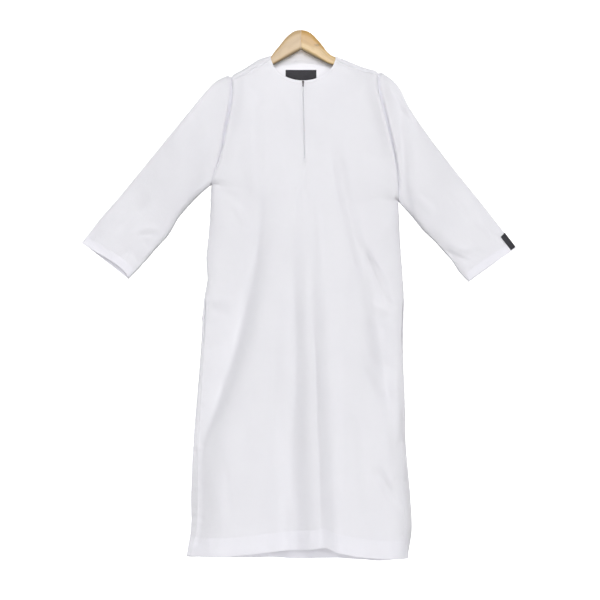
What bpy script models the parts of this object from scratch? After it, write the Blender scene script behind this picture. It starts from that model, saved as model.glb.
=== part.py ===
"""A long white thobe robe hanging on a wooden hanger, as thin-walled cloth solids.

Units are metres, +Z is up and the front faces -Y. The origin is where a rail carries the hook, under the top
of its bend. A "drop" is a distance below the origin. Left and right are those of a viewer in front, so left
is -X. Each outer face is worked out as a grid of points, and the cloth lies behind it.
"""

from bisect import bisect
from collections import namedtuple
from math import acos, asin, copysign, cos, exp, pi, radians, sin, sqrt

import bmesh
import bpy
from mathutils import Vector

# Cloth and seams: at the shoulder seams every wall leans the same way
CLOTH = 0.0015
SEAM_LEAN = Vector((0, -0.94, 0.34))
SEAM_GAP = 0.00036
ARMHOLE_GAP = 0.00055
FULLNESS = 0.42

# Neck: an oval scoop in front, a low rise behind
NECK_CENTRE = 0.0043
NECK_HALF_WIDTH = 0.0924
NECK_DROP = 0.1465
NECK_SCOOP = 0.0725
NECK_SEAM_ANGLE = 0.152
BACK_NECK_DROP = 0.150
BACK_NECK_RISE = 0.0265
BACK_NECK_BOW = 0.8

# Armholes and shoulders
LEFT_ARMPIT = 0.5114
RIGHT_ARMPIT = 0.5584
ARMHOLE_HALF_DEPTH = 0.028
SHOULDER_SWEEP = 0.020
SWEEP_REACH = 0.20
SWEEP_STARTS = 0.16
SWEEP_ENDS = 0.52
BACK_FALL_AT_NECK = 0.004
BACK_FALL_AT_ARM = 0.013

# Zip, in a slit down the middle of the front
SLIT_WIDTH = 0.0030
ZIP_TOP = 0.2190
ZIP_END = 0.4418
ZIP_X_TOP = 0.0043
ZIP_X_END = 0.0085
TAPE_WIDTH = 0.011
TAPE_THICKNESS = 0.0008
TAPE_OVERRUN = 0.014
TAPE_SET_BACK = 0.00204
TAPE_START = 0.05
TAPE_LAP = 0.025
COIL_WIDTH = 0.0021
COIL_THICKNESS = 0.0011
COIL_DEPTH = 0.0006

# Pocket mouths in the side seams
MOUTH_TOP = 0.840
MOUTH_END = 0.965
MOUTH_WIDTH = 0.0032

# Grid of the body
SHOULDER_CELLS = 6
FRONT_NECK_CELLS = 9
BACK_NECK_CELLS = 12
UPPER_ROWS = (0.0, 0.10, 0.22, 0.35, 0.48, 0.60, 0.705, 0.85, 1.0)
SLIT_ROWS = 6
SKIRT_ROWS = 24
STRIP_FRONT_CELLS = 3
STRIP_BACK_CELLS = 2
BACK_HALF = SHOULDER_CELLS + BACK_NECK_CELLS // 2
FRONT_SPREAD = 0.06
BACK_EVENNESS = 0.45
SEAM_STEP = 0.03

# Sleeves
SLEEVE_RINGS = (0.0, 0.05, 0.11, 0.18, 0.26, 0.34, 0.42, 0.50, 0.58, 0.66, 0.74, 0.82, 0.90, 0.96, 1.0)
SLEEVE_BLEND = 0.26
SLEEVE_ROUNDNESS = 0.84

Shoulder = namedtuple("Shoulder", "along out ridge seam")
Edge = namedtuple("Edge", "drop out tuck")
Depth = namedtuple("Depth", "drop front back")
Hem = namedtuple("Hem", "across front back")
Fold = namedtuple("Fold", "top_x top middle_x low_x low width rise")
Ring = namedtuple("Ring", "along top_x top low_x low half_depth skew")
Station = namedtuple("Station", "out top low half_thick")

# Shoulders from neck to armhole: the ridge on top, and the seam in front of it
LEFT_SHOULDER = (
    Shoulder(0.00, -0.0881, 0.1461, 0.1575),
    Shoulder(0.33, -0.1237, 0.1580, 0.1785),
    Shoulder(0.66, -0.1606, 0.1831, 0.2007),
    Shoulder(1.00, -0.1976, 0.2087, 0.2229),
)
RIGHT_SHOULDER = (
    Shoulder(0.00, 0.0967, 0.1476, 0.1580),
    Shoulder(0.33, 0.1350, 0.1632, 0.1780),
    Shoulder(0.66, 0.1790, 0.1826, 0.1955),
    Shoulder(1.00, 0.2146, 0.1990, 0.2085),
)

# Sides of the body: the armhole down to the armpit, then the outline, with how far in front of it the seam is
LEFT_SIDE = (
    Edge(0.2087, -0.1976, 0.000),
    Edge(0.2350, -0.1953, 0.000),
    Edge(0.3000, -0.2010, 0.000),
    Edge(0.3565, -0.2130, 0.000),
    Edge(0.4134, -0.2240, 0.000),
    Edge(0.4600, -0.2370, 0.000),
    Edge(0.5114, -0.2545, 0.000),
    Edge(0.6124, -0.2600, 0.001),
    Edge(0.7261, -0.2705, 0.003),
    Edge(0.7830, -0.2680, 0.004),
    Edge(0.8400, -0.2772, 0.005),
    Edge(0.9760, -0.2857, 0.007),
    Edge(1.1130, -0.2970, 0.010),
    Edge(1.2490, -0.3085, 0.014),
    Edge(1.3860, -0.3141, 0.018),
    Edge(1.4880, -0.3150, 0.016),
    Edge(1.5620, -0.3270, 0.012),
)
RIGHT_SIDE = (
    Edge(0.1990, 0.2146, 0.000),
    Edge(0.2485, 0.2185, 0.000),
    Edge(0.3224, 0.2370, 0.000),
    Edge(0.3992, 0.2560, 0.000),
    Edge(0.4700, 0.2690, 0.000),
    Edge(0.5584, 0.2743, 0.000),
    Edge(0.6692, 0.2800, 0.001),
    Edge(0.7830, 0.2880, 0.002),
    Edge(0.8400, 0.2910, 0.003),
    Edge(0.9760, 0.2886, 0.004),
    Edge(1.1130, 0.2935, 0.006),
    Edge(1.2490, 0.2980, 0.011),
    Edge(1.3860, 0.3085, 0.020),
    Edge(1.4880, 0.3141, 0.019),
    Edge(1.5620, 0.3050, 0.010),
)

# How far the front and the back stand from the middle plane
DEPTHS = (
    Depth(0.120, 0.012, 0.026),
    Depth(0.160, 0.015, 0.024),
    Depth(0.220, 0.026, 0.027),
    Depth(0.300, 0.034, 0.032),
    Depth(0.420, 0.040, 0.036),
    Depth(0.540, 0.043, 0.039),
    Depth(0.720, 0.045, 0.043),
    Depth(0.920, 0.047, 0.047),
    Depth(1.150, 0.050, 0.050),
    Depth(1.360, 0.054, 0.052),
    Depth(1.580, 0.059, 0.054),
)

# Hem, from the left side seam (-1) to the right one (1)
HEMS = (
    Hem(-1.00, 1.566, 1.566),
    Hem(-0.70, 1.561, 1.574),
    Hem(-0.30, 1.548, 1.580),
    Hem(-0.02, 1.540, 1.581),
    Hem(0.14, 1.534, 1.582),
    Hem(0.26, 1.550, 1.583),
    Hem(0.60, 1.566, 1.584),
    Hem(1.00, 1.571, 1.571),
)

# Largest folds: a line through three places, its half width, and how far it stands out (below 0, how far in).
# Each rises over the first share of its length and dies away over the last.
FOLD_RISES_OVER = 0.30
FOLD_DIES_OVER = 0.15
FRONT_FOLDS = (
    Fold(-0.088, 0.400, -0.146, -0.292, 1.300, 0.028, -0.011),
    Fold(-0.050, 0.620, -0.106, -0.192, 1.800, 0.034, 0.006),
    Fold(-0.004, 0.560, -0.010, -0.006, 1.800, 0.021, -0.013),
    Fold(0.010, 0.484, 0.030, 0.055, 1.800, 0.012, 0.016),
    Fold(0.036, 0.620, 0.053, 0.070, 1.800, 0.016, -0.012),
    Fold(0.110, 0.700, 0.126, 0.156, 1.800, 0.036, 0.006),
    Fold(0.090, 0.360, 0.132, 0.180, 0.790, 0.016, -0.007),
    Fold(0.165, 0.660, 0.212, 0.262, 0.880, 0.012, -0.007),
    Fold(0.170, 0.980, 0.215, 0.268, 1.140, 0.020, -0.007),
    Fold(0.210, 1.300, 0.240, 0.285, 1.440, 0.015, -0.006),
    Fold(-0.130, 0.260, -0.135, -0.128, 0.560, 0.022, 0.004),
)
BACK_FOLDS = (
    Fold(-0.120, 0.420, -0.155, -0.225, 1.800, 0.030, -0.010),
    Fold(-0.060, 0.560, -0.078, -0.104, 1.800, 0.026, 0.007),
    Fold(0.004, 0.300, 0.006, 0.002, 1.800, 0.024, -0.011),
    Fold(0.066, 0.620, 0.084, 0.112, 1.800, 0.028, 0.008),
    Fold(0.130, 0.460, 0.166, 0.224, 1.800, 0.026, -0.010),
)

# Sleeves, from the armhole to the cuff: the upper edge, the lower edge, and how the front layer draws back
LEFT_SLEEVE = (
    Ring(0.00, -0.1976, 0.2087, -0.2545, 0.5114, 0.028, 0.0),
    Ring(0.08, -0.2516, 0.2314, -0.2743, 0.5285, 0.033, 0.0),
    Ring(0.20, -0.3255, 0.3196, -0.3085, 0.5584, 0.034, 0.0),
    Ring(0.35, -0.4023, 0.4105, -0.3483, 0.6039, 0.030, 0.0),
    Ring(0.50, -0.4648, 0.4844, -0.3780, 0.6540, 0.027, 0.0),
    Ring(0.65, -0.5245, 0.5555, -0.4222, 0.7034, 0.025, 0.0),
    Ring(0.80, -0.5700, 0.6075, -0.4535, 0.7403, 0.022, 0.002),
    Ring(1.00, -0.6240, 0.6778, -0.4933, 0.7801, 0.018, 0.020),
)
RIGHT_SLEEVE = (
    Ring(0.00, 0.2146, 0.1990, 0.2743, 0.5584, 0.028, 0.0),
    Ring(0.08, 0.2687, 0.2314, 0.2857, 0.5726, 0.033, 0.0),
    Ring(0.20, 0.3056, 0.2997, 0.3113, 0.5982, 0.034, 0.0),
    Ring(0.35, 0.3653, 0.3849, 0.3454, 0.6408, 0.031, 0.0),
    Ring(0.50, 0.4336, 0.4702, 0.3852, 0.6835, 0.028, 0.0),
    Ring(0.65, 0.4961, 0.5470, 0.4222, 0.7261, 0.025, 0.0),
    Ring(0.80, 0.5501, 0.6152, 0.4460, 0.7574, 0.022, 0.001),
    Ring(1.00, 0.6098, 0.6920, 0.4762, 0.7886, 0.017, 0.006),
)

# Wooden hanger: the middle that shows in the neck, by the distance from the joint of its two arms
ARM_JOINT = -0.0015
ARM_JOINT_GAP = 0.0003
ARM_SEAT = 0.0031
ARM_ENDS = 0.93
ARM_SIDES = 12
ARM_INSIDE_STEPS = 7
ARM_HEIGHTS = (0.0250, 0.0185)
ARM_HALF_THICKS = (0.0090, 0.0062)
ARM_TOP_ROUNDNESS = 0.80
ARM_LOW_ROUNDNESS = 0.45
LEFT_ARM = (
    Station(0.0000, 0.0716, 0.1236, 0.0105),
    Station(0.0170, 0.0748, 0.1330, 0.0105),
    Station(0.0313, 0.0836, 0.1411, 0.0105),
    Station(0.0455, 0.0968, 0.1491, 0.0103),
    Station(0.0597, 0.1150, 0.1572, 0.0100),
    Station(0.0739, 0.1320, 0.1652, 0.0095),
)
RIGHT_ARM = (
    Station(0.0000, 0.0716, 0.1236, 0.0105),
    Station(0.0170, 0.0750, 0.1328, 0.0105),
    Station(0.0313, 0.0836, 0.1406, 0.0105),
    Station(0.0455, 0.0977, 0.1482, 0.0103),
    Station(0.0600, 0.1150, 0.1560, 0.0100),
    Station(0.0780, 0.1330, 0.1658, 0.0095),
)

# Hook, a bent wire
WIRE_RADIUS = 0.0019
HOOK_RADIUS = 0.0200
HOOK_TIP_ANGLE = 196
HOOK_LEAVES_ANGLE = -42
HOOK_STEP_ANGLE = 14
HOOK_BEVEL = 2
STEM_TOP = 0.0500
STEM_END = 0.0712
STEM_STEPS = 6

# Labels, both bare
NECK_LABEL_LEFT = -0.0455
NECK_LABEL_RIGHT = 0.0426
NECK_LABEL_TOP = 0.1880
NECK_LABEL_END = 0.2330
LABEL_THICKNESS = 0.0007
LABEL_GAP = 0.0006
NECK_LABEL_ROWS = 4
NECK_LABEL_COLUMNS = 6
CUFF_LABEL_FROM = 0.885
CUFF_LABEL_TO = 0.992
CUFF_LABEL_ANGLES = (0.10, 0.66)
CUFF_LABEL_ROWS = 5
CUFF_LABEL_COLUMNS = 9

# Facings: one behind the neck, and one behind each pocket mouth
FACING_THICKNESS = 0.0010
NECK_FACING_SHARES = (0.04, 0.5, 0.96)
NECK_FACING_INSET = 0.35
NECK_FACING_LIFT = 0.00315
POCKET_MARGIN = 0.035
POCKET_INSIDE = 0.00222
POCKET_REACH = 0.7
POCKET_LAP = 0.0008
POCKET_SET_BACK = 0.0009

# Slider of the zip, with the bridge that holds its pull tab
SLIDER_WIDTH = 0.0064
SLIDER_NARROW = 0.0046
SLIDER_HEIGHT = 0.0080
SLIDER_THICKNESS = 0.0020
SLIDER_DROP = 0.2246
SLIDER_WAIST = 0.1
SLIDER_SHOULDER = 0.8
SLIDER_CROWN = 0.75
BRIDGE_WIDTH = 0.0016
BRIDGE_BAR = 0.0008
BRIDGE_GAP = 0.0020
BRIDGE_SPAN = 0.0018
BRIDGE_ROOT = 0.0004
TAB_THICKNESS = 0.0009
TAB_WIDTH = 0.0044
TAB_TIP_WIDTH = 0.0034
TAB_LENGTH = 0.0128
TAB_EYE = 0.0005
TAB_WINDOW_WIDTH = 0.0024
TAB_CUTTER_DEPTH = 0.0036
TAB_WINDOW_END = 0.0029
TAB_NECK_END = 0.0041
TAB_CORNER = 0.0010
TAB_TIP_SHARE = 0.6


def clear_scene():
    """Removes every object that is already in the scene."""
    for thing in list(bpy.data.objects):
        bpy.data.objects.remove(thing, do_unlink=True)


def finish(name, colour, roughness, metallic=0.0):
    """Makes a plain Principled material."""
    material = bpy.data.materials.new(name)
    material.use_nodes = True
    shader = material.node_tree.nodes["Principled BSDF"]
    shader.inputs["Base Color"].default_value = (*colour, 1.0)
    shader.inputs["Roughness"].default_value = roughness
    shader.inputs["Metallic"].default_value = metallic
    material.diffuse_color = (*colour, 1.0)
    return material


def smooth(rows, key, column, at):
    """Reads a column of a table at a place between its rows, on a smooth curve through them."""
    keys = [getattr(row, key) for row in rows]
    values = [getattr(row, column) for row in rows]
    at = min(max(at, keys[0]), keys[-1])
    index = min(max(bisect(keys, at) - 1, 0), len(rows) - 2)

    def slope(place):
        low = max(place - 1, 0)
        high = min(place + 1, len(rows) - 1)
        return (values[high] - values[low]) / (keys[high] - keys[low])

    span = keys[index + 1] - keys[index]
    t = (at - keys[index]) / span
    start, end = values[index], values[index + 1]
    out, back = slope(index) * span, slope(index + 1) * span
    return (
        (2 * t**3 - 3 * t**2 + 1) * start
        + (t**3 - 2 * t**2 + t) * out
        + (3 * t**2 - 2 * t**3) * end
        + (t**3 - t**2) * back
    )


def ease(t):
    """Rises smoothly from 0 to 1 as t does."""
    t = min(max(t, 0.0), 1.0)
    return t * t * (3 - 2 * t)


def mix(a, b, t):
    """The value a share t of the way from a to b."""
    return a + (b - a) * t


def point(x, y, drop):
    """The place at x and y, a drop below the origin."""
    return Vector((x, y, -drop))


# --- The form of the body ---


def side_x(side, drop):
    """X of the left (-1) or right (1) edge of the body: its armhole, then its outline."""
    return smooth(LEFT_SIDE if side < 0 else RIGHT_SIDE, "drop", "out", drop)


def armpit(side):
    """The drop of the armpit."""
    return LEFT_ARMPIT if side < 0 else RIGHT_ARMPIT


def armhole_top(side):
    """The drop of the armhole's top, on the shoulder's ridge."""
    return (LEFT_SHOULDER if side < 0 else RIGHT_SHOULDER)[-1].ridge


def armhole_depth(side, drop):
    """Half the depth of an armhole's loop, nothing at its top and from its armpit down."""
    t = (drop - armhole_top(side)) / (armpit(side) - armhole_top(side))
    return ARMHOLE_HALF_DEPTH * sqrt(sin(pi * t)) if 0 < t < 1 else 0.0


def across(x, drop):
    """Where x lies between the edges of the body, from -1 to 1."""
    left, right = side_x(-1, drop), side_x(1, drop)
    return min(max((2 * x - left - right) / (right - left), -1.0), 1.0)


def sweep(x, drop):
    """The arms of the hanger curve forward, and take the top of the cloth with them."""
    fallen = ease((drop - SWEEP_STARTS) / (SWEEP_ENDS - SWEEP_STARTS))
    return -SHOULDER_SWEEP * (x / SWEEP_REACH) ** 2 * (1 - fallen)


def fold_height(folds, x, drop):
    """How far all the folds together stand out at a place."""
    total = 0.0
    for fold in folds:
        t = (drop - fold.top) / (fold.low - fold.top)
        if 0 < t < 1:
            centre = (1 - t) ** 2 * fold.top_x + t**2 * fold.low_x
            centre += 2 * t * (1 - t) * (2 * fold.middle_x - (fold.top_x + fold.low_x) / 2)
            fade = ease(t / FOLD_RISES_OVER) * ease((1 - t) / FOLD_DIES_OVER)
            total += fold.rise * fade * exp(-(((x - centre) / fold.width) ** 2))
    return total


def surface_y(face, x, drop):
    """Y of the front (-1) or back (1) face of the body."""
    q = across(x, drop)
    edge = mix(armhole_depth(-1, drop), armhole_depth(1, drop), (q + 1) / 2)
    deep = smooth(DEPTHS, "drop", "front" if face < 0 else "back", drop)
    folds = fold_height(FRONT_FOLDS if face < 0 else BACK_FOLDS, x, drop) * (1 - q**6)
    return sweep(x, drop) + face * (edge + (deep - edge) * (1 - q * q) ** FULLNESS + folds)


def loop_point(side, drop, angle):
    """A place on the level outline of the body near one side: 90 degrees is its edge, and more is in front."""
    left, right = side_x(-1, drop), side_x(1, drop)
    centre, half = (left + right) / 2, (right - left) / 2
    x = centre + side * half * sin(angle)
    return point(x, surface_y(1 if angle < pi / 2 else -1, x, drop), drop)


def seam_angle(side, drop):
    """The angle of the side seam on the level outline: it lies a little in front of the edge."""
    half = (side_x(1, drop) - side_x(-1, drop)) / 2
    tuck = max(smooth(LEFT_SIDE if side < 0 else RIGHT_SIDE, "drop", "tuck", drop), 0.0)
    return pi / 2 + acos(1 - tuck / half)


def seam_frame(side, drop):
    """The side seam's place, the way along the outline to the front, and the way out of the cloth."""
    angle = seam_angle(side, drop)
    along = loop_point(side, drop, angle + SEAM_STEP) - loop_point(side, drop, angle - SEAM_STEP)
    along.normalize()
    out = along.cross(Vector((0, 0, 1))) * side
    if out.x * side < 0:
        out = -out
    return loop_point(side, drop, angle), along, out


def mouth(drop):
    """Width of the open pocket mouth in the side seam at a drop."""
    t = (drop - MOUTH_TOP) / (MOUTH_END - MOUTH_TOP)
    return MOUTH_WIDTH * sqrt(sin(pi * t)) if 0 < t < 1 else 0.0


def armhole_point(side, face, drop):
    """A place on the armhole's loop, drawn in from the sleeve by half the seam gap."""
    x = side_x(side, drop)
    return point(x - side * SEAM_GAP / 2, sweep(x, drop) + face * armhole_depth(side, drop), drop)


# --- Walls ---


def cell_normal(corners):
    """The direction a four-cornered cell faces, by its diagonals."""
    a, b, c, d = corners
    return (c - a).cross(d - b).normalized()


def wall(name, points, cells, thickness, material, ways=None):
    """Builds a closed wall from the grid of its outer face.

    points is a dict of places, cells lists four keys each, wound so that the face looks out, and ways gives
    the direction out of the cloth at the keys along a seam, so that two edges stay parallel there.
    """
    outs = {key: Vector() for key in points}
    edges = {}
    for cell in cells:
        normal = cell_normal([points[key] for key in cell])
        for index, key in enumerate(cell):
            outs[key] += normal
            edge = (key, cell[(index + 1) % 4])
            if edge[::-1] in edges:
                del edges[edge[::-1]]
            else:
                edges[edge] = True
    used = {key for cell in cells for key in cell}
    mesh = bmesh.new()
    outer, inner = {}, {}
    for key in points:
        if key in used:
            way = (ways or {}).get(key, outs[key]).normalized()
            outer[key] = mesh.verts.new(points[key])
            inner[key] = mesh.verts.new(points[key] - way * thickness)
    for cell in cells:
        mesh.faces.new([outer[key] for key in cell])
        mesh.faces.new([inner[key] for key in reversed(cell)])
    for start, end in edges:
        mesh.faces.new((outer[end], outer[start], inner[start], inner[end]))
    return finished(name, mesh, material)


def finished(name, mesh, material, parent=None):
    """Turns a bmesh into a named, smoothly shaded object."""
    data = bpy.data.meshes.new(name)
    mesh.to_mesh(data)
    mesh.free()
    data.materials.append(material)
    data.shade_smooth()
    data.set_sharp_from_angle(angle=radians(40))
    thing = bpy.data.objects.new(name, data)
    bpy.context.scene.collection.objects.link(thing)
    thing.parent = parent
    return thing


def sheet_cells(rows, columns, flip=False):
    """The cells of a plain grid, wound to look at -Y when rows run down and columns run right."""
    cells = []
    for above, below in zip(rows[:-1], rows[1:]):
        for left, right in zip(columns[:-1], columns[1:]):
            cell = [(above, left), (below, left), (below, right), (above, right)]
            cells.append(cell[::-1] if flip else cell)
    return cells


# --- Front panel ---


def shoulder_line(side):
    """The shoulder's x, ridge drop and seam drop at each grid line, from the armhole in to the neck."""
    rows = LEFT_SHOULDER if side < 0 else RIGHT_SHOULDER
    places = []
    for index in range(SHOULDER_CELLS + 1):
        along = 1 - index / SHOULDER_CELLS
        places.append([smooth(rows, "along", column, along) for column in ("out", "ridge", "seam")])
    return places


def zip_x(drop):
    """The zip's middle line, which leans a little, and the grid line that goes straight on below it."""
    return mix(ZIP_X_TOP, ZIP_X_END, (drop - ZIP_TOP) / (ZIP_END - ZIP_TOP))


def front_top(side):
    """Half of the front panel's top edge: the shoulder seam, then the neck scoop as far as the slit."""
    edge = [(x, seam) for x, _, seam in shoulder_line(side)][:-1]
    slit = SLIT_WIDTH / 2 / NECK_HALF_WIDTH
    for index in range(FRONT_NECK_CELLS + 1):
        angle = mix(NECK_SEAM_ANGLE, pi / 2 - slit, index / FRONT_NECK_CELLS)
        x = NECK_CENTRE + side * NECK_HALF_WIDTH * cos(angle)
        edge.append((x, NECK_DROP + NECK_SCOOP * sin(angle)))
    return edge


def armhole_place(side, top, t):
    """X and drop of the armhole's edge at a share of its way from a top drop to the armpit."""
    drop = mix(top, armpit(side), t)
    return side_x(side, drop), drop


def upper_place(side, top, edge_top, low, inward, t):
    """A grid point between the top edge and the armpits, bent to the armhole more the nearer it lies."""
    edge_x, edge_drop = armhole_place(side, edge_top[1], t)
    straight = mix(edge_top[0], side_x(side, armpit(side)), t)
    x = mix(top[0], low[0], t) + (1 - inward) * (edge_x - straight)
    return x, mix(top[1], low[1], t)


def armhole_corner(side, face):
    """The armpit's corner of a panel, where its armhole meets the side seam."""
    place, along, _ = seam_frame(side, armpit(side))
    return place - along * (SEAM_GAP / 2 * face) - Vector((side * SEAM_GAP / 2, 0, 0))


def front_half(side):
    """Half of the front's outer face, keyed by row and step in from the side, and its seam's ways out."""
    top = front_top(side)
    cells = len(top) - 1
    middle_armpit = (LEFT_ARMPIT + RIGHT_ARMPIT) / 2
    last_upper = len(UPPER_ROWS) - 1
    points, ways = {}, {}
    for row in range(last_upper + SKIRT_ROWS + 1):
        for step in range(cells + 1):
            share = step / cells
            inward = share - FRONT_SPREAD * sin(2 * pi * share)
            low_drop = mix(armpit(side), middle_armpit, inward)
            low_x = mix(side_x(side, armpit(side)), zip_x(low_drop) + side * SLIT_WIDTH / 2, inward)
            key = (row, step)
            if row <= last_upper:
                t = UPPER_ROWS[row]
                x, drop = upper_place(side, top[step], top[0], (low_x, low_drop), inward, t)
                if step == 0:
                    points[key] = armhole_point(side, -1, drop) if t < 1 else armhole_corner(side, -1)
                    continue
            else:
                hem = smooth(HEMS, "across", "front", side * (1 - inward))
                drop = mix(low_drop, hem, (row - last_upper) / SKIRT_ROWS)
                seam, along, out = seam_frame(side, drop)
                if step == 0:
                    points[key] = seam + along * (SEAM_GAP / 2 + mouth(drop))
                    ways[key] = out
                    continue
                x = mix(seam.x, zip_x(drop) + side * SLIT_WIDTH / 2, inward)
            points[key] = point(x, surface_y(-1, x, drop), drop)
    return points, ways


def front_column(side, step, cells):
    """The whole front panel's column for a step in from one side."""
    return step if side < 0 else 2 * cells + 1 - step


def front_grid(loops):
    """The whole outer face of the front panel, with both halves side by side across the slit."""
    cells = SHOULDER_CELLS + FRONT_NECK_CELLS
    points, ways = {}, {}
    for side in (-1, 1):
        half, seam_ways = front_half(side)
        for (row, step), place in half.items():
            points[row, front_column(side, step, cells)] = place
        for (row, step), way in seam_ways.items():
            ways[row, front_column(side, step, cells)] = way
        for step in range(1, SHOULDER_CELLS + 1):
            ways[0, front_column(side, step, cells)] = SEAM_LEAN
        for row, way in enumerate(loops[side]["front_ways"]):
            ways[row, front_column(side, 0, cells)] = way
    return points, ways


def build_front(loops, cloth):
    """The front panel, from the shoulder seams and the neck to the hem, with the slit for the zip."""
    points, ways = front_grid(loops)
    columns = range(2 * (SHOULDER_CELLS + FRONT_NECK_CELLS) + 2)
    rows = range(len(UPPER_ROWS) + SKIRT_ROWS)
    middle = SHOULDER_CELLS + FRONT_NECK_CELLS
    cells = []
    for cell in sheet_cells(rows, columns):
        in_slit = cell[0][1] == middle and cell[0][0] < SLIT_ROWS
        if not in_slit:
            cells.append(cell)
    wall("front_panel", points, cells, CLOTH, cloth, ways)


# --- Back panel, which comes over the shoulders to the seam in front of them ---


def back_top(side):
    """Half of the top edge of the back's main part: a little down the back of the shoulder, then the neck."""
    edge = []
    for index, (x, ridge, _) in enumerate(shoulder_line(side)):
        edge.append((x, ridge + mix(BACK_FALL_AT_ARM, BACK_FALL_AT_NECK, index / SHOULDER_CELLS)))
    corner_x, corner = edge[-1]
    for index in range(1, BACK_NECK_CELLS // 2 + 1):
        t = index / (BACK_NECK_CELLS // 2)
        rise = BACK_NECK_RISE * sin(pi / 2 * t) ** BACK_NECK_BOW
        edge.append((mix(corner_x, NECK_CENTRE, t), mix(corner, BACK_NECK_DROP, t) - rise))
    return edge


def back_angle(side, drop, outward):
    """The angle on the level outline of a back grid line that lies some way out from the middle."""
    bunched = asin(outward) / (pi / 2)
    return seam_angle(side, drop) * mix(bunched, outward, BACK_EVENNESS)


def back_half(side):
    """Half of the back panel's main outer face, keyed by row and step in from the side, and its ways out."""
    top = back_top(side)
    middle_armpit = (LEFT_ARMPIT + RIGHT_ARMPIT) / 2
    last_upper = len(UPPER_ROWS) - 1
    points, ways = {}, {}
    for row in range(last_upper + SKIRT_ROWS + 1):
        for step in range(BACK_HALF + 1):
            outward = 1 - step / BACK_HALF
            low_drop = mix(middle_armpit, armpit(side), outward)
            key = (row, step)
            if row <= last_upper:
                t = UPPER_ROWS[row]
                low_x = loop_point(side, low_drop, back_angle(side, low_drop, outward)).x
                x, drop = upper_place(side, top[step], top[0], (low_x, low_drop), 1 - outward, t)
                if step == 0:
                    points[key] = armhole_point(side, 1, drop) if t < 1 else armhole_corner(side, 1)
                else:
                    points[key] = point(x, surface_y(1, x, drop), drop)
                continue
            hem = smooth(HEMS, "across", "back", side * outward)
            drop = mix(low_drop, hem, (row - last_upper) / SKIRT_ROWS)
            if step == 0:
                seam, along, out = seam_frame(side, drop)
                points[key] = seam - along * SEAM_GAP / 2
                ways[key] = out
            else:
                points[key] = loop_point(side, drop, back_angle(side, drop, outward))
    return points, ways


def strip_levels():
    """Rows of the strip over a shoulder, from the seam in front (-5) by the ridge (-2) to the back (0)."""
    return range(-STRIP_FRONT_CELLS - STRIP_BACK_CELLS, 1)


def strip_half(side, front, back):
    """The outer face of the strip over one shoulder, between the front's top edge and the back's."""
    points = {}
    for step, (x, ridge, _) in enumerate(shoulder_line(side)):
        top = point(x, sweep(x, ridge), ridge)
        seam = front[0, step] + Vector((0, 0, SEAM_GAP))
        behind = back[0, step]
        if step == 0:
            top.x -= side * SEAM_GAP / 2
        for level in strip_levels():
            if level == 0:
                continue
            to_front = level < -STRIP_BACK_CELLS
            end = seam if to_front else behind
            cells = STRIP_FRONT_CELLS if to_front else STRIP_BACK_CELLS
            t = abs(level + STRIP_BACK_CELLS) / cells * pi / 2
            points[level, step] = Vector(
                (mix(top.x, end.x, 1 - cos(t)), mix(top.y, end.y, sin(t)), mix(end.z, top.z, cos(t)))
            )
    return points


def back_column(side, step):
    """The whole back panel's column for a step in from one side."""
    return step if side < 0 else 2 * BACK_HALF - step


def build_back(loops, front_halves, cloth):
    """The back panel with its two strips over the shoulders. Returns its outer face's places."""
    points, ways, cells = {}, {}, []
    rows = range(len(UPPER_ROWS) + SKIRT_ROWS)
    levels = list(strip_levels())
    for side in (-1, 1):
        half, seam_ways = back_half(side)
        strip = strip_half(side, front_halves[side], half)
        for (row, step), place in {**strip, **half}.items():
            points[row, back_column(side, step)] = place
        for (row, step), way in seam_ways.items():
            ways[row, back_column(side, step)] = way
        for step in range(1, SHOULDER_CELLS + 1):
            ways[levels[0], back_column(side, step)] = SEAM_LEAN
        for row, way in loops[side]["back_ways"].items():
            ways[row, back_column(side, 0)] = way
        columns = sorted(back_column(side, step) for step in range(SHOULDER_CELLS + 1))
        cells += sheet_cells(levels, columns, flip=True)
    cells += sheet_cells(list(rows), range(2 * BACK_HALF + 1), flip=True)
    wall("back_panel", points, cells, CLOTH, cloth, ways)
    return points


# --- Armhole loops, shared by the body and the sleeves ---


def armhole_loop(side, front, back):
    """The loop from the ridge down the front, by the armpit and up the back, with each point's way out."""
    strip = strip_half(side, front, back)
    last = len(UPPER_ROWS) - 1
    ridge, seam = -STRIP_BACK_CELLS, -STRIP_BACK_CELLS - STRIP_FRONT_CELLS
    names = [("strip", level) for level in range(ridge, seam, -1)]
    names += [("front", row) for row in range(last + 1)]
    names += [("back", row) for row in range(last - 1, -1, -1)]
    names += [("strip", level) for level in range(-1, ridge, -1)]
    grids = {"strip": strip, "front": front, "back": back}
    places = [grids[grid][row, 0] for grid, row in names]
    ways = []
    for index in range(len(places)):
        before, after = places[index - 1], places[(index + 1) % len(places)]
        level = Vector((0, after.y - before.y, after.z - before.z))
        ways.append(Vector((0, level.z, -level.y)).normalized())
    front_ways, back_ways = [], {}
    for (grid, row), way in zip(names, ways):
        if grid == "front":
            front_ways.append(way)
        else:
            back_ways[row] = way
    back_ways[last] = front_ways[last]
    back_ways[seam] = front_ways[0]
    return {"places": places, "ways": ways, "front_ways": front_ways, "back_ways": back_ways}


# --- Sleeves ---


def sleeve_frame(side, along):
    """Middle, half width, half depth, direction down the sleeve and draw-back of one ring."""
    rows = LEFT_SLEEVE if side < 0 else RIGHT_SLEEVE
    top_x, top, low_x, low, deep, skew = (smooth(rows, "along", column, along) for column in Ring._fields[1:])
    upper, lower = point(top_x, sweep(top_x, top), top), point(low_x, 0, low)
    half = (lower - upper) / 2
    down = Vector((-half.z, 0, half.x)).normalized() * side
    return (upper + lower) / 2, half, deep, down, skew


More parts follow.
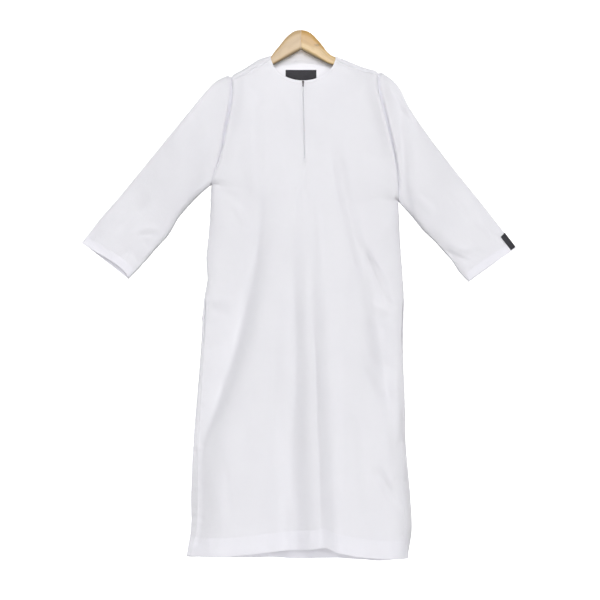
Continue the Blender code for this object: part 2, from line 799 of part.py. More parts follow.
def sleeve_point(side, along, angle):
    """A place on a sleeve's outer face: angle 0 is its upper edge and 90 degrees its front."""
    middle, half, deep, down, skew = sleeve_frame(side, along)
    lowness = (1 - cos(angle)) / 2
    front = max(sin(angle), 0.0)
    place = middle - half * cos(angle)
    place.y -= deep * copysign(abs(sin(angle)) ** SLEEVE_ROUNDNESS, sin(angle))
    return place - down * skew * front * lowness


def sleeve_grid(side, loop):
    """The outer face of one sleeve: its first ring is the armhole's loop, and the rest grow regular."""
    places, ways = loop["places"], loop["ways"]
    front_count = STRIP_FRONT_CELLS + len(UPPER_ROWS) - 1
    count = len(places)
    points, seam_ways = {}, {}
    start, start_half, _, start_down, _ = sleeve_frame(side, 0.0)
    for ring, along in enumerate(SLEEVE_RINGS):
        middle, half, _, down, _ = sleeve_frame(side, along)
        regular = ease(along / SLEEVE_BLEND)
        for index in range(count):
            if index <= front_count:
                angle = pi * index / front_count
            else:
                angle = pi + pi * (index - front_count) / (count - front_count)
            place = places[index] + Vector((side * ARMHOLE_GAP, 0, 0))
            if ring:
                offset = place - start
                lowness = offset.dot(start_half) / start_half.length_squared
                bulge = offset.dot(start_down)
                loose = middle + half * lowness + down * bulge
                loose.y = place.y
                place = loose.lerp(sleeve_point(side, along, angle), regular)
            else:
                seam_ways[ring, index] = ways[index]
            points[ring, index] = place
    return points, seam_ways, count


def build_sleeve(name, side, loop, cloth):
    """One sleeve, an open tube from the armhole to the cuff."""
    points, ways, count = sleeve_grid(side, loop)
    cells = []
    for ring in range(len(SLEEVE_RINGS) - 1):
        for index in range(count):
            after = (index + 1) % count
            cell = [(ring, index), (ring + 1, index), (ring + 1, after), (ring, after)]
            cells.append(cell[::-1] if side > 0 else cell)
    wall(name, points, cells, CLOTH, cloth, ways)


# --- What lies on or in the panels ---


def behind(place, distance):
    """The place moved back from the front panel, into the robe."""
    return place + Vector((0, distance, 0))


def slit_rows(half):
    """The slit's edge and the next grid line at each row, from just under the neck to past the slit's end."""
    step = SHOULDER_CELLS + FRONT_NECK_CELLS
    rows = [(half[row, step], half[row, step - 1]) for row in range(SLIT_ROWS + 2)]
    first = tuple(rows[0][index].lerp(rows[1][index], TAPE_START) for index in range(2))
    return [first] + rows[1:]


def build_zip_tapes(fronts, tape):
    """A tape behind each edge of the slit, which runs on a little below it."""
    overrun = TAPE_OVERRUN / (UPPER_ROWS[SLIT_ROWS + 1] - UPPER_ROWS[SLIT_ROWS]) / (LEFT_ARMPIT - ZIP_TOP)
    for side, name in ((-1, "zip_tape_left"), (1, "zip_tape_right")):
        rows = slit_rows(fronts[side])
        last = tuple(rows[-2][index].lerp(rows[-1][index], overrun) for index in range(2))
        points = {}
        for row, (edge, beyond) in enumerate(rows[:-1] + [last]):
            reach = TAPE_WIDTH / (beyond - edge).length
            for column, share in enumerate((-TAPE_LAP, reach / 2, reach)):
                points[row, column] = behind(edge.lerp(beyond, share), TAPE_SET_BACK)
        cells = sheet_cells(range(len(rows)), range(3), flip=side < 0)
        wall(name, points, cells, TAPE_THICKNESS, tape)


def build_zip_coil(fronts, coil):
    """The closed coil, between the edges of the slit."""
    pairs = zip(slit_rows(fronts[-1])[: SLIT_ROWS + 1], slit_rows(fronts[1])[: SLIT_ROWS + 1])
    points = {}
    for row, ((left, _), (right, _)) in enumerate(pairs):
        middle = behind((left + right) / 2, COIL_DEPTH)
        if row == SLIT_ROWS:
            middle.z += SEAM_GAP * 2
        for column, x in enumerate((-COIL_WIDTH / 2, COIL_WIDTH / 2)):
            points[row, column] = middle + Vector((x, 0, 0))
    cells = sheet_cells(range(SLIT_ROWS + 1), range(2))
    wall("zip_coil", points, cells, COIL_THICKNESS, coil)


def build_neck_facing(back, cloth):
    """The band that backs the neck's edge behind, on the inside of the back panel."""
    first, last = SHOULDER_CELLS, 2 * BACK_HALF - SHOULDER_CELLS
    points = {}
    for column in range(first, last + 1):
        for row, share in enumerate(NECK_FACING_SHARES):
            place = back[0, column].lerp(back[1, column], share)
            if column in (first, last):
                inner = column + (1 if column == first else -1)
                place = place.lerp(back[0, inner].lerp(back[1, inner], share), NECK_FACING_INSET)
            points[row, column] = behind(place, -NECK_FACING_LIFT)
    cells = sheet_cells(range(len(NECK_FACING_SHARES)), range(first, last + 1))
    wall("back_neck_facing", points, cells, FACING_THICKNESS, cloth)


def build_neck_label(dark):
    """The bare label on the inside of the back, below the facing."""
    lift = CLOTH + LABEL_GAP + LABEL_THICKNESS
    points = {}
    for row in range(NECK_LABEL_ROWS):
        for column in range(NECK_LABEL_COLUMNS):
            x = mix(NECK_LABEL_LEFT, NECK_LABEL_RIGHT, column / (NECK_LABEL_COLUMNS - 1))
            drop = mix(NECK_LABEL_TOP, NECK_LABEL_END, row / (NECK_LABEL_ROWS - 1))
            points[row, column] = point(x, surface_y(1, x, drop) - lift, drop)
    cells = sheet_cells(range(NECK_LABEL_ROWS), range(NECK_LABEL_COLUMNS))
    wall("neck_label", points, cells, LABEL_THICKNESS, dark)


def sleeve_way(side, along, angle):
    """The direction out of a sleeve's face."""
    step = 0.004
    down = sleeve_point(side, along + step, angle) - sleeve_point(side, along - step, angle)
    round_it = sleeve_point(side, along, angle + step) - sleeve_point(side, along, angle - step)
    return round_it.cross(down).normalized() * side


def build_cuff_label(dark):
    """The bare label on the front of the right sleeve, along its upper edge at the cuff."""
    rows, columns = range(CUFF_LABEL_ROWS), range(CUFF_LABEL_COLUMNS)
    points = {}
    for row in rows:
        for column in columns:
            along = mix(CUFF_LABEL_FROM, CUFF_LABEL_TO, row / rows[-1])
            angle = mix(*CUFF_LABEL_ANGLES, column / columns[-1])
            way = sleeve_way(1, along, angle)
            points[row, column] = sleeve_point(1, along, angle) + way * (LABEL_GAP + LABEL_THICKNESS)
    wall("cuff_label", points, sheet_cells(rows, columns, flip=True), LABEL_THICKNESS, dark)


def build_pocket_facing(name, side, half, cloth):
    """The strip that shows behind an open pocket mouth, inside the side seam."""
    points, row = {}, 0
    for grid_row in range(len(UPPER_ROWS), len(UPPER_ROWS) + SKIRT_ROWS):
        drop = -half[grid_row, 0].z
        if MOUTH_TOP - POCKET_MARGIN < drop < MOUTH_END + POCKET_MARGIN:
            seam, along, out = seam_frame(side, drop)
            points[row, 0] = seam - out * (POCKET_INSIDE + POCKET_SET_BACK) - along * POCKET_LAP
            points[row, 1] = seam - out * POCKET_INSIDE + along * (mouth(drop) + POCKET_LAP)
            points[row, 2] = behind(half[grid_row, 1], POCKET_INSIDE)
            points[row, 3] = behind(half[grid_row, 1].lerp(half[grid_row, 2], POCKET_REACH), POCKET_INSIDE)
            row += 1
    wall(name, points, sheet_cells(range(row), range(4), flip=side > 0), FACING_THICKNESS, cloth)


# --- Zip slider and pull tab ---


def slab(outline, thickness, axes):
    """A flat plate from an outline, as a bmesh: axes are the outline's two directions and the plate's own."""
    mesh = bmesh.new()
    across_way, up_way, out_way = axes
    layers = []
    for offset in (-thickness / 2, thickness / 2):
        layers.append([mesh.verts.new(across_way * a + up_way * b + out_way * offset) for a, b in outline])
    count = len(outline)
    mesh.faces.new(layers[0][::-1])
    mesh.faces.new(layers[1])
    for index in range(count):
        after = (index + 1) % count
        mesh.faces.new((layers[0][index], layers[0][after], layers[1][after], layers[1][index]))
    bmesh.ops.recalc_face_normals(mesh, faces=mesh.faces)
    return mesh


def helper(name, mesh, material, parent):
    """A hidden object that only takes part in a Boolean."""
    thing = finished(name, mesh, material, parent)
    thing.hide_render = True
    thing.display_type = "WIRE"
    return thing


def join_by(thing, other, operation):
    """Adds or cuts away the other object."""
    modifier = thing.modifiers.new(other.name, "BOOLEAN")
    modifier.operation = operation
    modifier.solver = "EXACT"
    modifier.object = other


RIGHT_WAY, UP_WAY, BACK_WAY = Vector((1, 0, 0)), Vector((0, 0, 1)), Vector((0, 1, 0))


def slider_place():
    """X, the Y of the slider's front face, and Z of its middle: it stands just off the cloth's face."""
    x = zip_x(SLIDER_DROP)
    lowest = SLIDER_DROP + SLIDER_HEIGHT / 2
    nearest = surface_y(-1, x, lowest) - SEAM_GAP
    return x, nearest - SLIDER_THICKNESS, -SLIDER_DROP


def build_slider(metal):
    """The slider's plate and the bridge across it, along which nothing turns but the tab."""
    x, face, z = slider_place()
    root = bpy.data.objects.new("slider_frame", None)
    bpy.context.scene.collection.objects.link(root)
    root.location = (x, face, z)
    wide, narrow, half = SLIDER_WIDTH / 2, SLIDER_NARROW / 2, SLIDER_HEIGHT / 2
    waist, shoulder, crown = half * SLIDER_WAIST, half * SLIDER_SHOULDER, wide * SLIDER_CROWN
    outline = [(-narrow, -half), (narrow, -half), (wide, waist), (wide, shoulder)]
    outline += [(crown, half), (-crown, half), (-wide, shoulder), (-wide, waist)]
    plate = slab(outline, SLIDER_THICKNESS, (RIGHT_WAY, UP_WAY, BACK_WAY))
    bmesh.ops.translate(plate, verts=plate.verts, vec=(0, SLIDER_THICKNESS / 2, 0))
    slider = finished("zip_slider", plate, metal, root)
    inner, outer = BRIDGE_SPAN / 2, BRIDGE_SPAN / 2 + BRIDGE_BAR
    arch = [(BRIDGE_ROOT, outer), (-BRIDGE_GAP - BRIDGE_BAR, outer), (-BRIDGE_GAP - BRIDGE_BAR, -outer)]
    arch += [(BRIDGE_ROOT, -outer), (BRIDGE_ROOT, -inner), (-BRIDGE_GAP, -inner)]
    arch += [(-BRIDGE_GAP, inner), (BRIDGE_ROOT, inner)]
    bridge = slab(arch, BRIDGE_WIDTH, (BACK_WAY, UP_WAY, RIGHT_WAY))
    join_by(slider, helper("slider_bridge", bridge, metal, root), "UNION")


def build_pull_tab(metal):
    """The pull tab, hanging on the bridge by the bar above its window. Its origin is on the bar's axis."""
    x, face, z = slider_place()
    axis = bpy.data.objects.new("pull_axis", None)
    bpy.context.scene.collection.objects.link(axis)
    axis.location = (x, face - BRIDGE_GAP / 2, z)
    wide, tip = TAB_WIDTH / 2, TAB_TIP_WIDTH / 2
    end, corner = tip * TAB_TIP_SHARE, TAB_CORNER - TAB_LENGTH
    outline = [(-wide, TAB_EYE), (-wide, -TAB_NECK_END), (-tip, corner), (-end, -TAB_LENGTH)]
    outline += [(end, -TAB_LENGTH), (tip, corner), (wide, -TAB_NECK_END), (wide, TAB_EYE)]
    tab = finished("zip_pull_tab", slab(outline, TAB_THICKNESS, (RIGHT_WAY, UP_WAY, BACK_WAY)), metal, axis)
    half = TAB_WINDOW_WIDTH / 2
    hole = [(-half, -TAB_WINDOW_END), (half, -TAB_WINDOW_END), (half, -TAB_EYE), (-half, -TAB_EYE)]
    window = slab(hole, TAB_CUTTER_DEPTH, (RIGHT_WAY, UP_WAY, BACK_WAY))
    join_by(tab, helper("tab_window", window, metal, axis), "DIFFERENCE")


# --- Hanger ---


def arm_stations(side):
    """Stations along one arm of the hanger: those in the neck, then those under the shoulder's ridge."""
    rows = LEFT_ARM if side < 0 else RIGHT_ARM
    shoulder = LEFT_SHOULDER if side < 0 else RIGHT_SHOULDER
    stations = []
    for row in rows:
        x = ARM_JOINT + side * (row.out if row.out else ARM_JOINT_GAP / 2)
        stations.append((x, row.top, row.low, row.half_thick))
    for index in range(ARM_INSIDE_STEPS + 1):
        along = ARM_ENDS * index / ARM_INSIDE_STEPS
        x = smooth(shoulder, "along", "out", along)
        top = smooth(shoulder, "along", "ridge", along) + ARM_SEAT
        stations.append((x, top, top + mix(*ARM_HEIGHTS, along), mix(*ARM_HALF_THICKS, along)))
    return stations


def arm_section(station):
    """One closed section of an arm: rounded on top, squarer below."""
    x, top, low, half_thick = station
    middle, half = (top + low) / 2, (low - top) / 2
    ring = []
    for index in range(ARM_SIDES):
        angle = 2 * pi * index / ARM_SIDES
        power = ARM_TOP_ROUNDNESS if cos(angle) > 0 else ARM_LOW_ROUNDNESS
        y = half_thick * copysign(abs(sin(angle)) ** power, sin(angle))
        up = half * copysign(abs(cos(angle)) ** power, cos(angle))
        ring.append(point(x, sweep(x, top) + y, middle - up))
    return ring


def build_arm(name, side, wood):
    """One wooden arm, from the joint in the middle to its end inside the shoulder."""
    mesh = bmesh.new()
    rings = [[mesh.verts.new(place) for place in arm_section(station)] for station in arm_stations(side)]
    for inner, outer in zip(rings[:-1], rings[1:]):
        for index in range(ARM_SIDES):
            after = (index + 1) % ARM_SIDES
            mesh.faces.new((inner[index], inner[after], outer[after], outer[index]))
    mesh.faces.new(rings[0])
    mesh.faces.new(rings[-1])
    bmesh.ops.recalc_face_normals(mesh, faces=mesh.faces)
    return finished(name, mesh, wood)


def hook_route():
    """The hook's centre line, from its tip over the bend and down the stem."""
    centre_z = WIRE_RADIUS - HOOK_RADIUS
    route = []
    angle = HOOK_TIP_ANGLE
    while angle >= HOOK_LEAVES_ANGLE:
        a = radians(angle)
        route.append(Vector((HOOK_RADIUS * cos(a), 0, centre_z + HOOK_RADIUS * sin(a))))
        angle -= HOOK_STEP_ANGLE
    leave = radians(angle + HOOK_STEP_ANGLE)
    heading = Vector((sin(leave), 0, -cos(leave)))
    start, end = route[-1], Vector((0, 0, -STEM_TOP))
    pull = HOOK_RADIUS / 2
    for step in range(1, STEM_STEPS + 1):
        t = step / STEM_STEPS
        first, second = start + heading * pull, end + Vector((0, 0, pull))
        here = start * (1 - t) ** 3 + first * 3 * t * (1 - t) ** 2 + second * 3 * t**2 * (1 - t) + end * t**3
        route.append(here)
    route.append(Vector((0, 0, -STEM_END)))
    return route


def build_hook(metal):
    """The hook and its stem, which goes into the top of the arms."""
    curve = bpy.data.curves.new("hanger_hook", "CURVE")
    curve.dimensions = "3D"
    curve.bevel_depth = WIRE_RADIUS
    curve.bevel_resolution = HOOK_BEVEL
    curve.use_fill_caps = True
    route = hook_route()
    spline = curve.splines.new("POLY")
    spline.points.add(len(route) - 1)
    for place, spot in zip(route, spline.points):
        spot.co = (*place, 1)
    curve.materials.append(metal)
    thing = bpy.data.objects.new("hanger_hook", curve)
    bpy.context.scene.collection.objects.link(thing)


def main():
    """Builds every solid of the robe and its hanger."""
    clear_scene()
    cloth = finish("white_cloth", (0.84, 0.83, 0.88), 0.8)
    dark = finish("dark_label", (0.035, 0.033, 0.045), 0.7)
    wood = finish("pale_wood", (0.66, 0.50, 0.33), 0.45)
    chrome = finish("bright_steel", (0.75, 0.75, 0.76), 0.25, 1.0)
    metal = finish("dark_metal", (0.10, 0.09, 0.09), 0.4, 1.0)
    tape = finish("zip_tape", (0.80, 0.79, 0.84), 0.8)
    coil = finish("zip_coil", (0.70, 0.70, 0.74), 0.5)
    fronts = {side: front_half(side)[0] for side in (-1, 1)}
    backs = {side: back_half(side)[0] for side in (-1, 1)}
    loops = {side: armhole_loop(side, fronts[side], backs[side]) for side in (-1, 1)}
    build_front(loops, cloth)
    back = build_back(loops, fronts, cloth)
    build_sleeve("left_sleeve", -1, loops[-1], cloth)
    build_sleeve("right_sleeve", 1, loops[1], cloth)
    build_neck_facing(back, cloth)
    build_pocket_facing("left_pocket_facing", -1, fronts[-1], cloth)
    build_pocket_facing("right_pocket_facing", 1, fronts[1], cloth)
    build_zip_tapes(fronts, tape)
    build_zip_coil(fronts, coil)
    build_slider(metal)
    build_pull_tab(metal)
    build_neck_label(dark)
    build_cuff_label(dark)
    build_arm("hanger_arm_left", -1, wood)
    build_arm("hanger_arm_right", 1, wood)
    build_hook(chrome)


main()
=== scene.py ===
"""The looks of a long white thobe robe on its wooden hanger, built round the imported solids.

Units are metres, +Z is up and the front faces -Y. The origin is where a rail carries the hook. A drop is a
distance below the origin. Left and right are those of a viewer in front, so left is -X.
"""

import logging
from dataclasses import dataclass
from enum import Enum
from math import cos, hypot, pi, radians, sin
from typing import Iterable, Sequence

import bpy
import numpy as np
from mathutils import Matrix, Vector


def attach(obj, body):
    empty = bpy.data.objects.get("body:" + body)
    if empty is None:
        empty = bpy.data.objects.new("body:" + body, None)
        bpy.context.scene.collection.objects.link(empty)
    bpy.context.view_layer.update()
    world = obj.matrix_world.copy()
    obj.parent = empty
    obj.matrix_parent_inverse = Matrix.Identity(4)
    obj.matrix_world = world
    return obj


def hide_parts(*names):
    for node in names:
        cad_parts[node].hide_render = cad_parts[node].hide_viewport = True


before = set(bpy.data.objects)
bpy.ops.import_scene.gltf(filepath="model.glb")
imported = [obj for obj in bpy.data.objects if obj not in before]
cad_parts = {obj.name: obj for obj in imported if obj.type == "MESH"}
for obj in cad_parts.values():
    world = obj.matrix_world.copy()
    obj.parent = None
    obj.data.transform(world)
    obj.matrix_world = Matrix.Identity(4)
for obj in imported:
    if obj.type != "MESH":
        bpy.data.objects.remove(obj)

Array = np.ndarray
Colour = tuple[float, float, float]
Place = tuple[float, float, float]
Line = tuple[Array, Array]
Socket = bpy.types.NodeSocket
Thing = bpy.types.Object
LOG = logging.getLogger("robe")
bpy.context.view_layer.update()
GARMENT = "garment"


class Side(Enum):
    """The viewer's left or right of the robe, from the front."""

    LEFT = -1
    RIGHT = 1

    @property
    def word(self) -> str:
        """The side as a part of names."""
        return self.name.lower()


class Face(Enum):
    """The front or the back of the robe."""

    FRONT = -1
    BACK = 1


def ease(t: Array) -> Array:
    """Rises smoothly from 0 to 1 as t does."""
    t = np.clip(t, 0.0, 1.0)
    return t * t * (3 - 2 * t)


def mix(a: Array | float, b: Array | float, t: Array | float) -> Array:
    """The value a share t of the way from a to b."""
    return a + (b - a) * t


def spot(x: Array, y: Array, drop: Array) -> Array:
    """Places from their x, y and drop, as an array whose last axis is x, y, z."""
    x, y, drop = np.broadcast_arrays(x, y, drop)
    return np.stack((x, y, -drop), axis=-1).astype(float)


def unit(v: Array) -> Array:
    """The same directions with a length of 1."""
    return v / np.maximum(np.linalg.norm(v, axis=-1, keepdims=True), 1e-12)


def finer(marks: Sequence[float], parts: int, extra: Sequence[float] = ()) -> Array:
    """Splits each step between marks into equal parts.

    Args:
        marks: Rising numbers.
        parts: How many parts each step gets.
        extra: Further numbers to hold as well.

    Returns:
        All the numbers, sorted, with those that nearly coincide left out.
    """
    at = np.interp(np.arange((len(marks) - 1) * parts + 1) / parts, np.arange(len(marks)), marks)
    kept: list[float] = sorted(float(x) for x in extra)
    near = 0.35 * float(np.diff(at).min())
    kept += [float(x) for x in at if x in (at[0], at[-1]) or all(abs(x - e) > near for e in kept)]
    return np.array(sorted(set(kept)))


@dataclass(frozen=True)
class Table:
    """Rows of numbers under named columns, read smoothly between the rows by the first column."""

    columns: tuple[str, ...]
    rows: tuple[tuple[float, ...], ...]

    def read(self, column: str, at: Array | float) -> Array:
        """Reads one column at places along the first.

        Args:
            column: The column's name.
            at: Where to read it, held to the table's ends.

        Returns:
            The values there, on a smooth curve through the rows.
        """
        data = np.array(self.rows)
        keys, values = data[:, 0], data[:, self.columns.index(column)]
        last = len(keys) - 1
        low, high = np.maximum(np.arange(last + 1) - 1, 0), np.minimum(np.arange(last + 1) + 1, last)
        slopes = (values[high] - values[low]) / (keys[high] - keys[low])
        at = np.clip(np.asarray(at, float), keys[0], keys[-1])
        i = np.clip(np.searchsorted(keys, at, side="right") - 1, 0, last - 1)
        span = keys[i + 1] - keys[i]
        t = (at - keys[i]) / span
        start = (2 * t**3 - 3 * t**2 + 1) * values[i] + (t**3 - 2 * t**2 + t) * span * slopes[i]
        return start + (3 * t**2 - 2 * t**3) * values[i + 1] + (t**3 - t**2) * span * slopes[i + 1]


@dataclass(frozen=True)
class Fold:
    """A long soft fold, by its x at the top, middle and foot, its half width and how far out it stands.

    A fold with a rise below 0 stands in. Its left flank is lean times as wide as its right.
    """

    top_x: float
    top: float
    middle_x: float
    low_x: float
    low: float
    width: float
    rise: float
    lean: float = 1.0
    starts_over: float = 0.3
    ends_over: float = 0.15

    def height(self, x: Array, drop: Array) -> Array:
        """How far the fold stands out at places.

        Args:
            x: Their x.
            drop: Their drop.

        Returns:
            The height there, and 0 past the fold's ends.
        """
        t = (drop - self.top) / (self.low - self.top)
        centre = (1 - t) ** 2 * self.top_x + t**2 * self.low_x
        centre = centre + 2 * t * (1 - t) * (2 * self.middle_x - (self.top_x + self.low_x) / 2)
        fade = ease(t / self.starts_over) * ease((1 - t) / self.ends_over)
        width = self.width * np.where(x < centre, self.lean, 1.0)
        inside = (t > 0) & (t < 1)
        return np.where(inside, self.rise * fade * np.exp(-(((x - centre) / width) ** 2)), 0.0)


@dataclass(frozen=True)
class Crease:
    """A short crease from one place to another as seen from in front, bowed to one side.

    It fades at both ends. Its first side, to the left of the way it runs, is steeper where keen is above 1.
    """

    x: float
    drop: float
    end_x: float
    end_drop: float
    bow: float
    width: float
    rise: float
    keen: float = 1.0

    def height(self, x: Array, drop: Array) -> Array:
        """How far the crease stands out at places.

        Args:
            x: Their x.
            drop: Their drop.

        Returns:
            The height there, and 0 past the crease's ends.
        """
        run_x, run_drop = self.end_x - self.x, self.end_drop - self.drop
        length = hypot(run_x, run_drop)
        t = ((x - self.x) * run_x + (drop - self.drop) * run_drop) / length**2
        off = ((x - self.x) * run_drop - (drop - self.drop) * run_x) / length
        off = off - 4 * self.bow * t * (1 - t)
        width = self.width * np.where(off > 0, 1 / self.keen, self.keen)
        fade = ease(t / 0.35) * ease((1 - t) / 0.35)
        return np.where((t > 0) & (t < 1), self.rise * fade * np.exp(-((off / width) ** 2)), 0.0)


def each(kind: type, *rows: tuple[float, ...]) -> tuple:
    """Makes a fold or crease of each row: its seven lengths in millimetres, and then its ratios."""
    return tuple(kind(*(round(length / 1000, 9) for length in row[:7]), *row[7:]) for row in rows)


def relief_of(marks: Iterable[Fold | Crease], x: Array, drop: Array) -> Array:
    """The height of all these folds or creases together.

    Args:
        marks: The folds or creases.
        x: The places' x.
        drop: Their drop.

    Returns:
        The summed height at each place.
    """
    total = np.zeros(np.broadcast(x, drop).shape)
    for mark in marks:
        total = total + mark.height(x, drop)
    return total


SHOULDERS: dict[Side, Table] = {
    Side.LEFT: Table(("along", "out", "ridge", "seam"), (
        (0, -0.0881, 0.1461, 0.1575), (0.33, -0.1237, 0.158, 0.1785), (0.66, -0.1606, 0.1831, 0.2007),
        (1, -0.1976, 0.2087, 0.2229),
    )),
    Side.RIGHT: Table(("along", "out", "ridge", "seam"), (
        (0, 0.0967, 0.1476, 0.158), (0.33, 0.135, 0.1632, 0.178), (0.66, 0.179, 0.1826, 0.1955),
        (1, 0.2146, 0.199, 0.2085),
    )),
}
SIDES: dict[Side, Table] = {
    Side.LEFT: Table(("drop", "out", "tuck"), (
        (0.2087, -0.1976, 0), (0.235, -0.1953, 0), (0.3, -0.201, 0), (0.3565, -0.213, 0), (0.4134, -0.224, 0),
        (0.46, -0.237, 0), (0.5114, -0.2545, 0), (0.6124, -0.26, 0.001), (0.7261, -0.2705, 0.003),
        (0.783, -0.268, 0.004), (0.84, -0.2772, 0.005), (0.976, -0.2857, 0.007), (1.113, -0.297, 0.01),
        (1.249, -0.3085, 0.014), (1.386, -0.3141, 0.018), (1.488, -0.315, 0.016), (1.562, -0.327, 0.012),
    )),
    Side.RIGHT: Table(("drop", "out", "tuck"), (
        (0.199, 0.2146, 0), (0.2485, 0.2185, 0), (0.3224, 0.237, 0), (0.3992, 0.256, 0), (0.47, 0.269, 0),
        (0.5584, 0.2743, 0), (0.6692, 0.28, 0.001), (0.783, 0.288, 0.002), (0.84, 0.291, 0.003),
        (0.976, 0.2886, 0.004), (1.113, 0.2935, 0.006), (1.249, 0.298, 0.011), (1.386, 0.3085, 0.02),
        (1.488, 0.3141, 0.019), (1.562, 0.305, 0.01),
    )),
}
ARMPITS: dict[Side, float] = {Side.LEFT: 0.5114, Side.RIGHT: 0.5584}
MIDDLE_ARMPIT = sum(ARMPITS.values()) / 2
FOLDS: dict[Face, tuple[Fold, ...]] = {
    Face.FRONT: each(
        Fold,
        (-114, 420, -182, -366, 1400, 36, -37, 2.4, 0.56), (-20, 560, -15, -2, 1800, 18, -5),
        (-48, 1000, -48, -44, 1800, 34, -17, 1.3), (9, 440, 33, 67, 1800, 33, 18, 1.15, 0.42),
        (44, 600, 82, 116, 1800, 26, -4), (158, 620, 236, 290, 1420, 38, -23, 0.72, 0.5, 0.5),
        (262, 1060, 292, 300, 1800, 38, 26, 1.3, 0.2), (90, 360, 132, 180, 790, 16, -8),
        (165, 660, 212, 262, 880, 12, -8), (170, 980, 215, 268, 1160, 22, -7, 1, 0.4, 0.4),
        (210, 1300, 240, 285, 1440, 15, -8), (-130, 260, -135, -128, 560, 22, 4),
    ),
    Face.BACK: each(
        Fold,
        (-130, 420, -172, -262, 1800, 32, -22, 2, 0.4), (-60, 560, -78, -104, 1800, 30, 11),
        (4, 340, 6, 2, 1800, 28, -15, 1.2, 0.4), (66, 620, 84, 112, 1800, 30, 13),
        (138, 460, 176, 246, 1800, 56, -20, 0.5, 0.4), (-20, 900, -28, -40, 1800, 20, -7),
    ),
}


